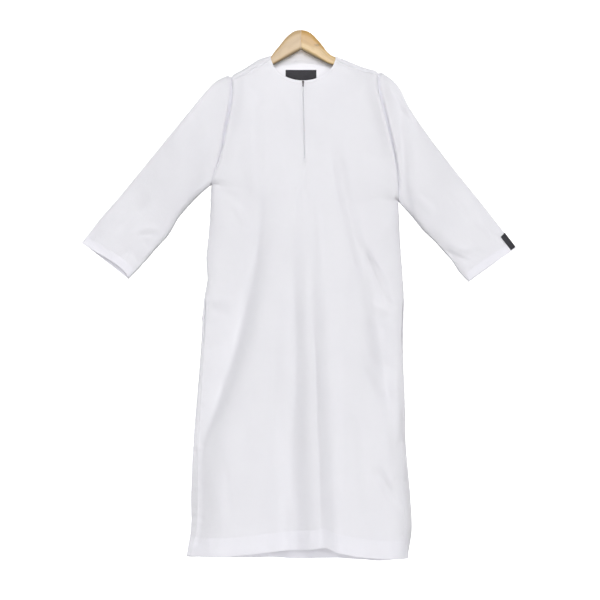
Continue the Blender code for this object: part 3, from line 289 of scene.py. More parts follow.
@dataclass(frozen=True)
class RobeForm:
    """The shape in which the robe hangs: its edges, depths and hem as in the solids, with its folds."""

    fullness: float = 0.36
    ramp_reach: float = 0.33
    ramp_starts: float = 1.02
    neck_centre: float = 0.0043
    neck_half_width: float = 0.0924
    neck_drop: float = 0.1465
    neck_scoop: float = 0.0725
    neck_seam_angle: float = 0.152
    back_neck_drop: float = 0.15
    back_neck_rise: float = 0.0265
    back_neck_bow: float = 0.8
    armhole_half_depth: float = 0.028
    shoulder_sweep: float = 0.02
    sweep_reach: float = 0.2
    sweep_starts: float = 0.16
    sweep_ends: float = 0.52
    back_fall_at_neck: float = 0.004
    back_fall_at_arm: float = 0.013
    slit_width: float = 0.0021
    zip_top: float = 0.219
    zip_end: float = 0.4418
    zip_x_top: float = 0.0043
    zip_x_end: float = 0.0085
    mouth_top: float = 0.84
    mouth_end: float = 0.965
    mouth_width: float = 0.0032
    upper_rows: tuple[float, ...] = (0.0, 0.1, 0.22, 0.35, 0.48, 0.6, 0.705, 0.85, 1.0)
    slit_rows: int = 6
    skirt_rows: int = 24
    depths: Table = Table(("drop", "front", "back"), (
        (0.12, 0.012, 0.026), (0.16, 0.015, 0.024), (0.22, 0.026, 0.027), (0.3, 0.034, 0.032),
        (0.42, 0.04, 0.036), (0.54, 0.043, 0.039), (0.72, 0.045, 0.043), (0.92, 0.047, 0.047),
        (1.15, 0.05, 0.05), (1.36, 0.054, 0.052), (1.58, 0.059, 0.054),
    ))
    hems: Table = Table(("across", "front", "back"), (
        (-1, 1.566, 1.566), (-0.7, 1.561, 1.574), (-0.3, 1.548, 1.58), (-0.02, 1.54, 1.581),
        (0.14, 1.534, 1.582), (0.26, 1.55, 1.583), (0.6, 1.566, 1.584), (1, 1.571, 1.571),
    ))

    def side_x(self, side: Side, drop: Array | float) -> Array:
        """X of the body's edge: its armhole, then its outline."""
        return SIDES[side].read("out", drop)

    def armhole_depth(self, side: Side, drop: Array) -> Array:
        """Half the depth of an armhole, nothing at its top and from its armpit down."""
        top = SHOULDERS[side].rows[-1][2]
        t = np.clip((drop - top) / (ARMPITS[side] - top), 0.0, 1.0)
        return self.armhole_half_depth * np.maximum(np.sin(pi * t), 0.0) ** 0.38

    def across(self, x: Array, drop: Array) -> Array:
        """Where x lies between the edges of the body, from -1 to 1."""
        left, right = self.side_x(Side.LEFT, drop), self.side_x(Side.RIGHT, drop)
        return np.clip((2 * x - left - right) / (right - left), -1.0, 1.0)

    def sweep(self, x: Array, drop: Array) -> Array:
        """How far the hanger's arms take the top of the cloth forward."""
        fallen = ease((drop - self.sweep_starts) / (self.sweep_ends - self.sweep_starts))
        return -self.shoulder_sweep * (x / self.sweep_reach) ** 2 * (1 - fallen)

    def surface_y(self, face: Face, x: Array, drop: Array) -> Array:
        """Y of one face of the body.

        Args:
            face: The front or the back.
            x: The places' x.
            drop: Their drop.

        Returns:
            The y of the cloth's outer face there, main folds included.
        """
        q = self.across(x, drop)
        left, right = self.armhole_depth(Side.LEFT, drop), self.armhole_depth(Side.RIGHT, drop)
        edge = mix(left, right, (q + 1) / 2)
        deep = self.depths.read(face.name.lower(), drop)
        folds = relief_of(FOLDS[face], x, drop)
        ramp = 1 - (1 - np.clip((1 - np.abs(q)) / self.ramp_reach, 0, 1)) ** 1.8
        slumped = ease((drop - self.ramp_starts) / 0.25) * ease(-q / 0.3)
        bulge = (deep - edge) * mix((1 - q * q) ** self.fullness, ramp, slumped)
        return self.sweep(x, drop) + face.value * (edge + bulge + folds * (1 - q**6))

    def loop(self, side: Side, drop: Array, angle: Array) -> Array:
        """Places on the level outline near one side: 90 degrees is its edge, and more is in front."""
        left, right = self.side_x(Side.LEFT, drop), self.side_x(Side.RIGHT, drop)
        x = (left + right) / 2 + side.value * (right - left) / 2 * np.sin(angle)
        ahead, behind = self.surface_y(Face.FRONT, x, drop), self.surface_y(Face.BACK, x, drop)
        return spot(x, np.where(angle < pi / 2, behind, ahead), drop)

    def seam_angle(self, side: Side, drop: Array) -> Array:
        """The angle of the side seam on the level outline."""
        half = (self.side_x(Side.RIGHT, drop) - self.side_x(Side.LEFT, drop)) / 2
        tuck = np.maximum(SIDES[side].read("tuck", drop), 0.0)
        return pi / 2 + np.arccos(1 - tuck / half)

    def seam(self, side: Side, drop: Array) -> tuple[Array, Array]:
        """The side seam.

        Args:
            side: Which side.
            drop: The places' drop.

        Returns:
            The places on the seam, and the way along the level outline to the front there.
        """
        angle = self.seam_angle(side, drop)
        step = 0.03
        along = self.loop(side, drop, angle + step) - self.loop(side, drop, angle - step)
        return self.loop(side, drop, angle), unit(along)

    def mouth(self, drop: Array) -> Array:
        """Width of the open pocket mouth in the side seam."""
        t = np.clip((drop - self.mouth_top) / (self.mouth_end - self.mouth_top), 0.0, 1.0)
        return self.mouth_width * np.sqrt(np.maximum(np.sin(pi * t), 0.0))

    def zip_x(self, drop: Array) -> Array:
        """The zip's middle line, and the line that goes straight on below it."""
        return mix(self.zip_x_top, self.zip_x_end, (drop - self.zip_top) / (self.zip_end - self.zip_top))


# Meshes


def steps_along(places: Array, axis: int) -> Array:
    """Distance along the rows (axis 0) or columns (axis 1) of a grid, from its first place."""
    gaps = np.linalg.norm(np.diff(places, axis=axis), axis=-1)
    start = np.zeros_like(np.take(gaps, [0], axis=axis))
    return np.concatenate((start, np.cumsum(gaps, axis=axis)), axis=axis)


def steps_up(places: Array) -> Array:
    """Distance along the columns of a grid, up from its last row."""
    down = steps_along(places, 0)
    return down[-1:] - down


def outward(places: Array, cells: Array) -> Array:
    """The direction out of the cloth at each place, from all the cells round it.

    Args:
        places: The places.
        cells: The numbers of the four places of each cell.

    Returns:
        A unit vector for each place.
    """
    a, b, c, d = (places[cells[:, i]] for i in range(4))
    normal, total = np.cross(c - a, d - b), np.zeros_like(places)
    for i in range(4):
        np.add.at(total, cells[:, i], normal)
    return unit(total)


def dent(distance: Array, at: float, width: float) -> Array:
    """A soft bump of height 1 where a distance is at a value."""
    return np.exp(-(((distance - at) / width) ** 2))


def swell(distance: Array, width: float = 0.0065, foot: float = 0.0017) -> Array:
    """The soft roll of cloth beside a seam: nothing at the seam itself, so that both sides still meet."""
    return (1 - np.exp(-((distance / foot) ** 2))) * np.exp(-((distance / width) ** 2))


def waver(at: Array, seed: int, pitch: float) -> Array:
    """Uneven waves of about 1 in height, with no beat that repeats, for puckers along a seam.

    Args:
        at: Places along the seam.
        seed: What sets the waves apart from others.
        pitch: About how long a wave is.

    Returns:
        The height at each place.
    """
    rng = np.random.default_rng(seed)
    total = np.zeros_like(at)
    for scale in (0.62, 1.0, 1.7, 2.9):
        share, start = sin(rng.uniform(0, 9)), rng.uniform(0, 2 * pi)
        total = total + share * np.sin(2 * pi * at / (pitch * scale) + start)
    return total / 1.6


@dataclass
class Grid:
    """Cloth as rows and columns of places on its outer face; keep says which cells exist."""

    places: Array
    keep: Array | None = None
    wraps: bool = False
    flips: bool = False

    def corners(self) -> Array:
        """The four vertex numbers of each kept cell, wound to look out."""
        rows, columns = self.places.shape[:2]
        number = np.arange(rows * columns).reshape(rows, columns)
        if self.wraps:
            number = np.concatenate((number, number[:, :1]), axis=1)
        cells = np.stack((number[:-1, :-1], number[1:, :-1], number[1:, 1:], number[:-1, 1:]), axis=-1)
        cells = cells[:, :, ::-1] if self.flips else cells
        return cells[self.keep] if self.keep is not None else cells.reshape(-1, 4)

    def outward(self) -> Array:
        """The direction out of the cloth at each place."""
        return outward(self.places.reshape(-1, 3), self.corners()).reshape(self.places.shape)

    def raised(self, height: Array) -> "Grid":
        """The same cloth moved out by a height at each place."""
        return Grid(self.places + self.outward() * height[..., None], self.keep, self.wraps, self.flips)

    def sizes(self) -> Array:
        """Texture coordinates in metres: along the columns from the middle, and down the rows."""
        u, v = steps_along(self.places, 1), steps_along(self.places, 0)
        return np.stack((u - u[:, u.shape[1] // 2, None], np.broadcast_to(v, u.shape)), axis=-1)

    def line(self, value: float, axis: int, distance: Array | None = None) -> Line:
        """Finds a line on the cloth where a distance has some value.

        Args:
            value: The value to find, on the first stretch that holds it.
            axis: 1 to look along each row, 0 to look along each column.
            distance: The distance at each place; without it, how far each place lies along that axis.

        Returns:
            The line's places, and the directions out of the cloth there.
        """
        distance = steps_along(self.places, axis) if distance is None else distance
        places, out = self.places, self.outward()
        if axis == 0:
            places, out, distance = places.swapaxes(0, 1), out.swapaxes(0, 1), distance.T
        lower, upper = distance[:, :-1] - value, distance[:, 1:] - value
        crossing = lower * upper <= 0
        found = np.nonzero(crossing.any(axis=1))[0]
        step = crossing.argmax(axis=1)[found]
        t = (lower[found, step] / (lower[found, step] - upper[found, step] + 1e-15))[:, None]
        ends = (mix(values[found, step], values[found, step + 1], t) for values in (places, out))
        return next(ends), unit(next(ends))


def new_object(name: str, data: bpy.types.ID) -> Thing:
    """Links a new object of some data into the scene."""
    thing = bpy.data.objects.new(name, data)
    bpy.context.scene.collection.objects.link(thing)
    return thing


def mesh_object(name: str, vertices: Array, faces: list[Array], uv: Array, sharp: float = 40) -> Thing:
    """Makes a smoothly shaded mesh object.

    Args:
        name: The object's name.
        vertices: Places, one row each.
        faces: Arrays of vertex numbers, one row a face.
        uv: Texture coordinates of each vertex.
        sharp: The angle in degrees from which an edge is sharp.

    Returns:
        The new object.
    """
    data = bpy.data.meshes.new(name)
    data.from_pydata(vertices.tolist(), [], [face for block in faces for face in block.tolist()])
    data.shade_smooth()
    data.set_sharp_from_angle(angle=radians(sharp))
    loops = np.empty(len(data.loops), dtype=np.int32)
    data.loops.foreach_get("vertex_index", loops)
    data.uv_layers.new(name="metres").data.foreach_set("uv", uv[loops].astype(np.float32).ravel())
    return new_object(name, data)


def shell(name: str, grids: Sequence[Grid], thickness: Sequence[Array | float]) -> Thing:
    """Builds one piece of cloth, its two faces and the rim between them, from grids of its outer face.

    Args:
        name: The piece's name.
        grids: The grids; where two of them share places, they are joined.
        thickness: How thick each grid's cloth is, inward from its outer face.

    Returns:
        The new object.
    """
    outer = np.concatenate([g.places.reshape(-1, 3) for g in grids])
    uv = np.concatenate([g.sizes().reshape(-1, 2) for g in grids])
    deep = np.concatenate([np.broadcast_to(t, g.places.shape[:2]).ravel() for g, t in zip(grids, thickness)])
    starts = np.cumsum([0] + [g.places.shape[0] * g.places.shape[1] for g in grids])
    cells = np.concatenate([g.corners() + start for g, start in zip(grids, starts)])
    _, first, same = np.unique(np.round(outer / 1e-6), axis=0, return_index=True, return_inverse=True)
    cells = first[same.reshape(-1)][cells]
    used, flat = np.unique(cells, return_inverse=True)
    cells = flat.reshape(cells.shape)
    outer, uv, deep = outer[used], uv[used], deep[used]
    inner = outer - outward(outer, cells) * deep[:, None]
    edges = np.concatenate([np.stack((cells[:, i], cells[:, (i + 1) % 4]), axis=1) for i in range(4)])
    count = len(outer)
    code = edges[:, 0] * count + edges[:, 1]
    rim = edges[~np.isin(code, edges[:, 1] * count + edges[:, 0])]
    walls = np.stack((rim[:, 1], rim[:, 0], rim[:, 0] + count, rim[:, 1] + count), axis=1)
    faces = [cells, cells[:, ::-1] + count, walls]
    return mesh_object(name, np.concatenate((outer, inner)), faces, np.concatenate((uv, uv)))


@dataclass(frozen=True)
class Stitches:
    """A row of lock stitches, each a small tapered thread that dips into the cloth at both ends."""

    length: float = 0.0026
    pitch: float = 0.0033
    radius: float = 0.00026
    sides: int = 5

    def build(self, name: str, lines: Sequence[Line]) -> Thing:
        """Builds all the stitches of some lines as one mesh.

        Args:
            name: The piece's name.
            lines: For each line, its places and the directions out of the cloth there.

        Returns:
            The new object.
        """
        middles, alongs, outs = [], [], []
        for places, out in lines:
            run = np.concatenate(([0.0], np.cumsum(np.linalg.norm(np.diff(places, axis=0), axis=1))))
            at = np.arange(self.pitch / 2, run[-1], self.pitch)
            read = lambda values, where: np.stack([np.interp(where, run, values[:, i]) for i in range(3)], 1)
            middles.append(read(places, at))
            alongs.append(unit(read(places, at + self.length / 2) - read(places, at - self.length / 2)))
            outs.append(unit(read(out, at)))
        middle, along, out = (np.concatenate(part)[:, None, None] for part in (middles, alongs, outs))
        across = unit(np.cross(along, out))
        share = np.array([-1.0, -0.72, -0.3, 0.3, 0.72, 1.0])[None, :, None, None]
        girth = np.array([0.25, 0.8, 1.0, 1.0, 0.8, 0.25])[None, :, None, None] * self.radius
        lift = (0.5 - share**4) * self.radius
        turn = (2 * pi * np.arange(self.sides) / self.sides)[None, None, :, None]
        ring = middle + along * share * self.length / 2 + out * lift
        ring = ring + girth * (out * np.sin(turn) + across * np.cos(turn))
        count, rings = ring.shape[0], ring.shape[1]
        number = np.arange(count * rings * self.sides).reshape(count, rings, self.sides)
        after = np.roll(number, -1, axis=2)
        tube = np.stack((number[:, :-1], number[:, 1:], after[:, 1:], after[:, :-1]), axis=-1).reshape(-1, 4)
        ends = [number[:, 0], number[:, -1, ::-1]]
        flat = ring.reshape(-1, 3)
        return mesh_object(name, flat, [tube] + ends, flat[:, [0, 2]], sharp=180)


# Finishes


class Recipe:
    """A material or world under construction, with short ways to add and join its nodes."""

    def __init__(self, name: str, kind: str = "materials", shader: str = "Principled BSDF") -> None:
        """Starts one that has only its shader and its coordinates: uv in metres, and the object's own."""
        self.made = getattr(bpy.data, kind).new(name)
        self.made.use_nodes = True
        self.tree = self.made.node_tree
        self.shader = self.tree.nodes[shader]
        places = self.add("TexCoord").outputs
        self.uv, self.solid, self.way = places["UV"], places["Object"], places["Generated"]

    def set(self, **values: float | tuple[float, ...]) -> None:
        """Sets sockets of the shader, with _ in place of each space in their names."""
        for name, value in values.items():
            self.shader.inputs[name.replace("_", " ")].default_value = value

    def add(self, kind: str, settings: dict[str, object] | None = None, **inputs: object) -> bpy.types.Node:
        """Adds a node.

        Args:
            kind: Its type, without the ShaderNode in front.
            settings: Its own properties.
            **inputs: What each socket gets, by its name with _ for a space, or by i and its number.

        Returns:
            The node.
        """
        node = self.tree.nodes.new("ShaderNode" + kind)
        for name, value in (settings or {}).items():
            setattr(node, name, value)
        for name, value in inputs.items():
            numbered = name[0] == "i" and name[1:].isdigit()
            socket = node.inputs[int(name[1:])] if numbered else node.inputs[name.replace("_", " ")]
            if isinstance(value, Socket):
                self.tree.links.new(value, socket)
            else:
                socket.default_value = value
        return node

    def math(self, operation: str, a: object, b: object = 0.0) -> Socket:
        """Works out one number from two."""
        return self.add("Math", {"operation": operation}, i0=a, i1=b).outputs[0]

    def weighed(self, a: object, share: float, b: object, other: float) -> Socket:
        """Adds two numbers, each times its own share."""
        return self.math("ADD", self.math("MULTIPLY", a, share), self.math("MULTIPLY", b, other))

    def spread(self, value: object, low: float, high: float, **more: float) -> Socket:
        """Spreads a value from 0 to 1, or another range if given, over the range from low to high."""
        return self.add("MapRange", Value=value, To_Min=low, To_Max=high, **more).outputs[0]

    def mixed(self, share: object, first: object, second: object) -> Socket:
        """Mixes two colours."""
        return self.add("Mix", {"data_type": "RGBA"}, Factor=share, i6=first, i7=second).outputs[2]

    def axis(self, where: object, number: int) -> Socket:
        """One axis of some coordinates."""
        return self.add("SeparateXYZ", Vector=where).outputs[number]

    def noise(self, where: object, scale: float, detail: float = 3.0, roughness: float = 0.5) -> Socket:
        """Smooth random values from 0 to 1."""
        node = self.add("TexNoise", Vector=where, Scale=scale, Detail=detail, Roughness=roughness)
        return node.outputs["Fac"]

    def bands(self, where: object, scale: float, distortion: float, detail: float) -> Socket:
        """Uneven bands across Y, from 0 to 1."""
        more = {"Scale": scale, "Distortion": distortion, "Detail": detail}
        return self.add("TexWave", {"bands_direction": "Y"}, Vector=where, **more).outputs["Fac"]

    def ramp(self, value: object, *stops: tuple[float, Colour]) -> Socket:
        """Colours that follow a value, from stops of a place and a colour.

        Args:
            value: The value to follow.
            *stops: Each stop's place and colour.

        Returns:
            The colour.
        """
        node = self.add("ValToRGB", Fac=value)
        elements = node.color_ramp.elements
        while len(elements) < len(stops):
            elements.new(0.5)
        for element, (place, colour) in zip(elements, stops):
            element.position, element.color = place, (*colour, 1.0)
        return node.outputs["Color"]

    def stretched(self, where: object, sizes: Place) -> Socket:
        """Coordinates with each axis multiplied."""
        return self.add("Mapping", Vector=where, Scale=sizes).outputs[0]

    def bump(self, height: object, distance: float, under: object = None) -> Socket:
        """Turns a height from 0 to 1 into a bump of a real distance, over another bump if given."""
        more = {"Normal": under} if under is not None else {}
        return self.add("Bump", None, Strength=1.0, Distance=distance, Height=height, **more).outputs[0]

    def join(self, socket: Socket, name: str) -> None:
        """Joins a socket to one of the shader's."""
        self.tree.links.new(socket, self.shader.inputs[name])


@dataclass(frozen=True)
class WovenFinish:
    """Plain-woven cloth or tape: crossed threads, faint slubs, uneven tone and a soft nap."""

    name: str
    light: Colour
    dark: Colour
    thread: float = 0.0005
    depth: float = 0.00005
    roughness: float = 0.62
    sheen: float = 0.03
    gloss: float = 0.55
    mottle: float = 7.0
    thin: float = 0.0

    def material(self) -> bpy.types.Material:
        """Makes the material, with its weave in metres on the piece's own coordinates."""
        r = Recipe(self.name)
        r.set(IOR=1.46, Sheen_Weight=self.sheen, Sheen_Roughness=0.45, Specular_IOR_Level=self.gloss)
        r.set(Subsurface_Weight=self.thin, Subsurface_Radius=(1.0, 1.0, 1.0), Subsurface_Scale=0.002)
        warp, weft = (r.math("SINE", r.math("MULTIPLY", r.axis(r.uv, i), pi / self.thread)) for i in (0, 1))
        over = r.math("MULTIPLY", warp, weft)
        weave = r.weighed(r.math("ABSOLUTE", over), 0.8, over, 0.2)
        slub = r.noise(r.stretched(r.uv, (90, 1400, 1)), 1.0, 2.0)
        nap = r.noise(r.solid, 900.0, 2.0)
        fine = r.weighed(slub, 0.7, nap, 0.4)
        soft = r.bump(r.noise(r.solid, 38.0, 3.0, 0.55), 0.0006)
        r.join(r.bump(r.math("ADD", weave, fine), self.depth, soft), "Normal")
        tone = r.weighed(r.noise(r.solid, self.mottle, 4.0), 0.7, slub, 0.3)
        r.join(r.ramp(tone, (0.28, self.dark), (0.62, self.light)), "Base Color")
        r.join(r.spread(nap, self.roughness - 0.06, self.roughness + 0.08), "Roughness")
        return r.made


@dataclass(frozen=True)
class SatinFinish:
    """The dark satin ribbon of a label: fine floats across it, a dull glow and slightly worn tone."""

    name: str = "label_satin"
    light: Colour = (0.021, 0.019, 0.026)
    dark: Colour = (0.011, 0.01, 0.0145)

    def material(self) -> bpy.types.Material:
        """Makes the material."""
        r = Recipe(self.name)
        r.set(Sheen_Weight=0.02, Sheen_Roughness=0.4, Anisotropic=0.5, Specular_IOR_Level=0.3)
        floats = r.noise(r.stretched(r.uv, (350, 4200, 1)), 1.0, 3.0)
        r.join(r.bump(r.math("ADD", floats, r.bands(r.uv, 420.0, 1.2, 1.0)), 0.00006), "Normal")
        tone = r.weighed(r.noise(r.uv, 70.0), 0.6, floats, 0.4)
        r.join(r.ramp(tone, (0.3, self.dark), (0.7, self.light)), "Base Color")
        r.join(r.spread(floats, 0.42, 0.62), "Roughness")
        return r.made


@dataclass(frozen=True)
class WoodFinish:
    """Lacquered hanger wood: grain that runs along the arm, pores, a darker part above a slanting line, and
    painted shade along the underside.
    """

    name: str
    pale: Colour
    deep: Colour
    figure: Colour
    figure_from: float
    knot: Place
    slant: float = 0.33
    streak: Colour = (0.46, 0.27, 0.085)
    # shadow is the painted shade colour for the arm's underside
    shadow: Colour = (0.24, 0.175, 0.092)

    def material(self) -> bpy.types.Material:
        """Makes the material: u runs along the arm and v round it, in metres."""
        r = Recipe(self.name)
        r.set(Coat_Weight=0.25, Coat_Roughness=0.28, IOR=1.5)
        bend = r.noise(r.stretched(r.uv, (9, 30, 1)), 1.0, 2.0)
        shifted = r.add("VectorMath", {"operation": "SCALE"}, Vector=(0.0, 0.02, 0.0), Scale=bend).outputs[0]
        along = r.add("VectorMath", {"operation": "ADD"}, i0=r.uv, i1=shifted).outputs[0]
        grain = r.noise(r.stretched(along, (14, 620, 1)), 1.0, 4.0, 0.6)
        tone = r.weighed(grain, 0.62, r.bands(along, 34.0, 1.5, 2.0), 0.3)
        base = r.ramp(tone, (0.2, self.deep), (0.75, self.pale))
        # Above a slanting line across the arm, the colour turns darker, with grain streaks in it.
        height = r.math("ADD", r.axis(r.solid, 2), r.math("MULTIPLY", r.axis(r.solid, 0), self.slant))
        edge = r.math("ADD", height, r.math("MULTIPLY", r.noise(r.solid, 40.0), 0.005))
        low, high = self.figure_from - 0.004, self.figure_from + 0.003
        streaks = r.ramp(grain, (0.3, self.streak), (0.7, self.figure))
        colour = r.mixed(r.spread(edge, 0.0, 1.0, From_Min=low, From_Max=high), base, streaks)
        squash = (0.55, 0.5, 1.2)
        centre = tuple(a * b for a, b in zip(self.knot, squash))
        around = r.stretched(r.solid, squash)
        off = r.add("VectorMath", {"operation": "DISTANCE"}, i0=around, i1=centre).outputs[1]
        ring = r.math("ADD", off, r.math("MULTIPLY", r.noise(r.solid, 160.0), 0.004))
        knot = r.math("MULTIPLY", r.spread(ring, 1.0, 0.0, From_Min=0.0045, From_Max=0.0085), 0.75)
        colour = r.mixed(knot, colour, (*(0.6 * c for c in self.deep), 1.0))
        # Painted shade: where v is small, on the underside, the colour is mixed towards the shadow colour.
        under = r.spread(r.axis(r.uv, 1), 1.0, 0.0, From_Min=0.008, From_Max=0.0112)
        r.join(r.mixed(under, colour, (*self.shadow, 1.0)), "Base Color")
        pores = r.noise(r.stretched(along, (120, 2600, 1)), 1.0, 2.0)
        r.join(r.bump(r.math("ADD", grain, pores), 0.00012), "Normal")
        r.join(r.spread(grain, 0.36, 0.52), "Roughness")
        return r.made


@dataclass(frozen=True)
class MetalFinish:
    """Plated or painted metal with fine rubbed scratches and a faintly uneven tone."""

    name: str
    light: Colour
    dark: Colour
    roughness: float
    scratch: float = 2400.0

    def material(self) -> bpy.types.Material:
        """Makes the material."""
        r = Recipe(self.name)
        r.set(Metallic=1.0, Anisotropic=0.3)
        rubbed = r.noise(r.stretched(r.solid, (self.scratch, self.scratch, self.scratch / 12)), 1.0, 2.0)
        tone = r.noise(r.solid, 90.0, 4.0)
        r.join(r.ramp(tone, (0.3, self.dark), (0.7, self.light)), "Base Color")
        r.join(r.bump(rubbed, 0.000012), "Normal")
        wear = r.weighed(rubbed, 0.6, tone, 0.4)
        r.join(r.spread(wear, self.roughness - 0.07, self.roughness + 0.09), "Roughness")
        return r.made


@dataclass(frozen=True)
class CoilFinish:
    """The white nylon of the zip's coil, a little clouded and glossy."""

    name: str = "coil_nylon"
    light: Colour = (0.74, 0.74, 0.78)
    dark: Colour = (0.62, 0.62, 0.67)

    def material(self) -> bpy.types.Material:
        """Makes the material."""
        r = Recipe(self.name)
        r.set(IOR=1.53, Subsurface_Weight=0.1, Subsurface_Scale=0.001)
        cloud = r.noise(r.solid, 500.0)
        r.join(r.ramp(cloud, (0.3, self.dark), (0.7, self.light)), "Base Color")
        r.join(r.bump(r.noise(r.solid, 3000.0), 0.00001), "Normal")
        r.join(r.spread(cloud, 0.3, 0.42), "Roughness")
        return r.made


LEFT_GRAIN = WoodFinish(
    "wood_left", (0.565, 0.405, 0.228), (0.445, 0.305, 0.153), (0.62, 0.48, 0.32),
    figure_from=0.5, knot=(-0.5, 0, 0),
)
RIGHT_GRAIN = WoodFinish(
    "wood_right", (0.715, 0.515, 0.262), (0.45, 0.282, 0.088), (0.535, 0.318, 0.094),
    figure_from=-0.107, knot=(0.0455, -0.0105, -0.1163),
)
SUITING = WovenFinish("suiting_white", (0.812, 0.804, 0.858), (0.786, 0.778, 0.834), thin=0.7)
LABEL_YARN = WovenFinish("label_thread", (0.07, 0.068, 0.08), (0.045, 0.043, 0.055), 0.0003)
BLACK_METAL = MetalFinish("slider_metal", (0.13, 0.12, 0.125), (0.07, 0.065, 0.07), 0.42, 5200.0)


class Finish(Enum):
    """The finishes by name, each with the record's slot that it belongs to."""

    CLOTH = ("white_cloth", SUITING)
    THREAD = ("white_cloth", WovenFinish("sewing_thread", (0.8, 0.79, 0.84), (0.7, 0.69, 0.75), 0.00025))
    TAPE = ("zip_tape", WovenFinish("tape_woven", (0.74, 0.73, 0.78), (0.66, 0.65, 0.71), 0.0007, 0.00009))
    LABEL = ("dark_label", SatinFinish())
    LABEL_THREAD = ("dark_label", LABEL_YARN)
    LEFT_WOOD = ("pale_wood", LEFT_GRAIN)
    RIGHT_WOOD = ("pale_wood", RIGHT_GRAIN)
    STEEL = ("bright_steel", MetalFinish("hook_steel", (0.93, 0.93, 0.94), (0.82, 0.82, 0.84), 0.22))
    SLIDER = ("dark_metal", BLACK_METAL)
    COIL = ("zip_coil", CoilFinish())

    @property
    def slot(self) -> str:
        """The record's slot."""
        return self.value[0]

    def dress(self, thing: Thing) -> None:
        """Gives an object this finish as its only material.

        Args:
            thing: The object.
        """
        if self.name not in MADE:
            MADE[self.name] = self.value[1].material()
        if not thing.data.materials:
            thing.data.materials.append(MADE[self.name])
        for place in thing.material_slots:
            place.material = MADE[self.name]


MADE: dict[str, bpy.types.Material] = {}


def settle(piece: Thing, finish: Finish, *nodes: str) -> Thing:
    """Finishes a new piece, sets it riding on the garment, and lets it stand for solids.

    Args:
        piece: The piece.
        finish: Its finish.
        *nodes: The solids that it stands for.

    Returns:
        The piece.
    """
    finish.dress(piece)
    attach(piece, GARMENT)
    finish.slot
    if nodes:
        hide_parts(*nodes)
    count = sum(len(face.vertices) - 2 for face in piece.data.polygons) if piece.type == "MESH" else 0
    LOG.info("%s: %d triangles, finish %s", piece.name, count, finish.value[1].name)
    return piece


# Body panels

# Where places are held: in from a seam in metres, then down from the top edge and down the skirt in shares
SEAM_MARKS = (0.0, 0.0007, 0.0014, 0.0023, 0.0036, 0.0052, 0.0072, 0.0098, 0.0135)
NECK_MARKS = (0.0025, 0.006, 0.011, 0.017, 0.0215, 0.0253, 0.029, 0.036, 0.045)
HEM_MARKS = (0.936, 0.941, 0.9435, 0.946, 0.9482, 0.9504, 0.953, 0.958, 0.994, 0.9975, 0.999)
HEM_DEPTH = 0.054
HEM_CALM = 0.35
SEAM_STITCH = 0.0062
ARMHOLE_ROLL = 0.0098
BACK_ROLL = 0.5
ROLL_POWER = 0.45
ROLL_FOOT = 0.0058
SHOULDER_ROLL = 0.0034


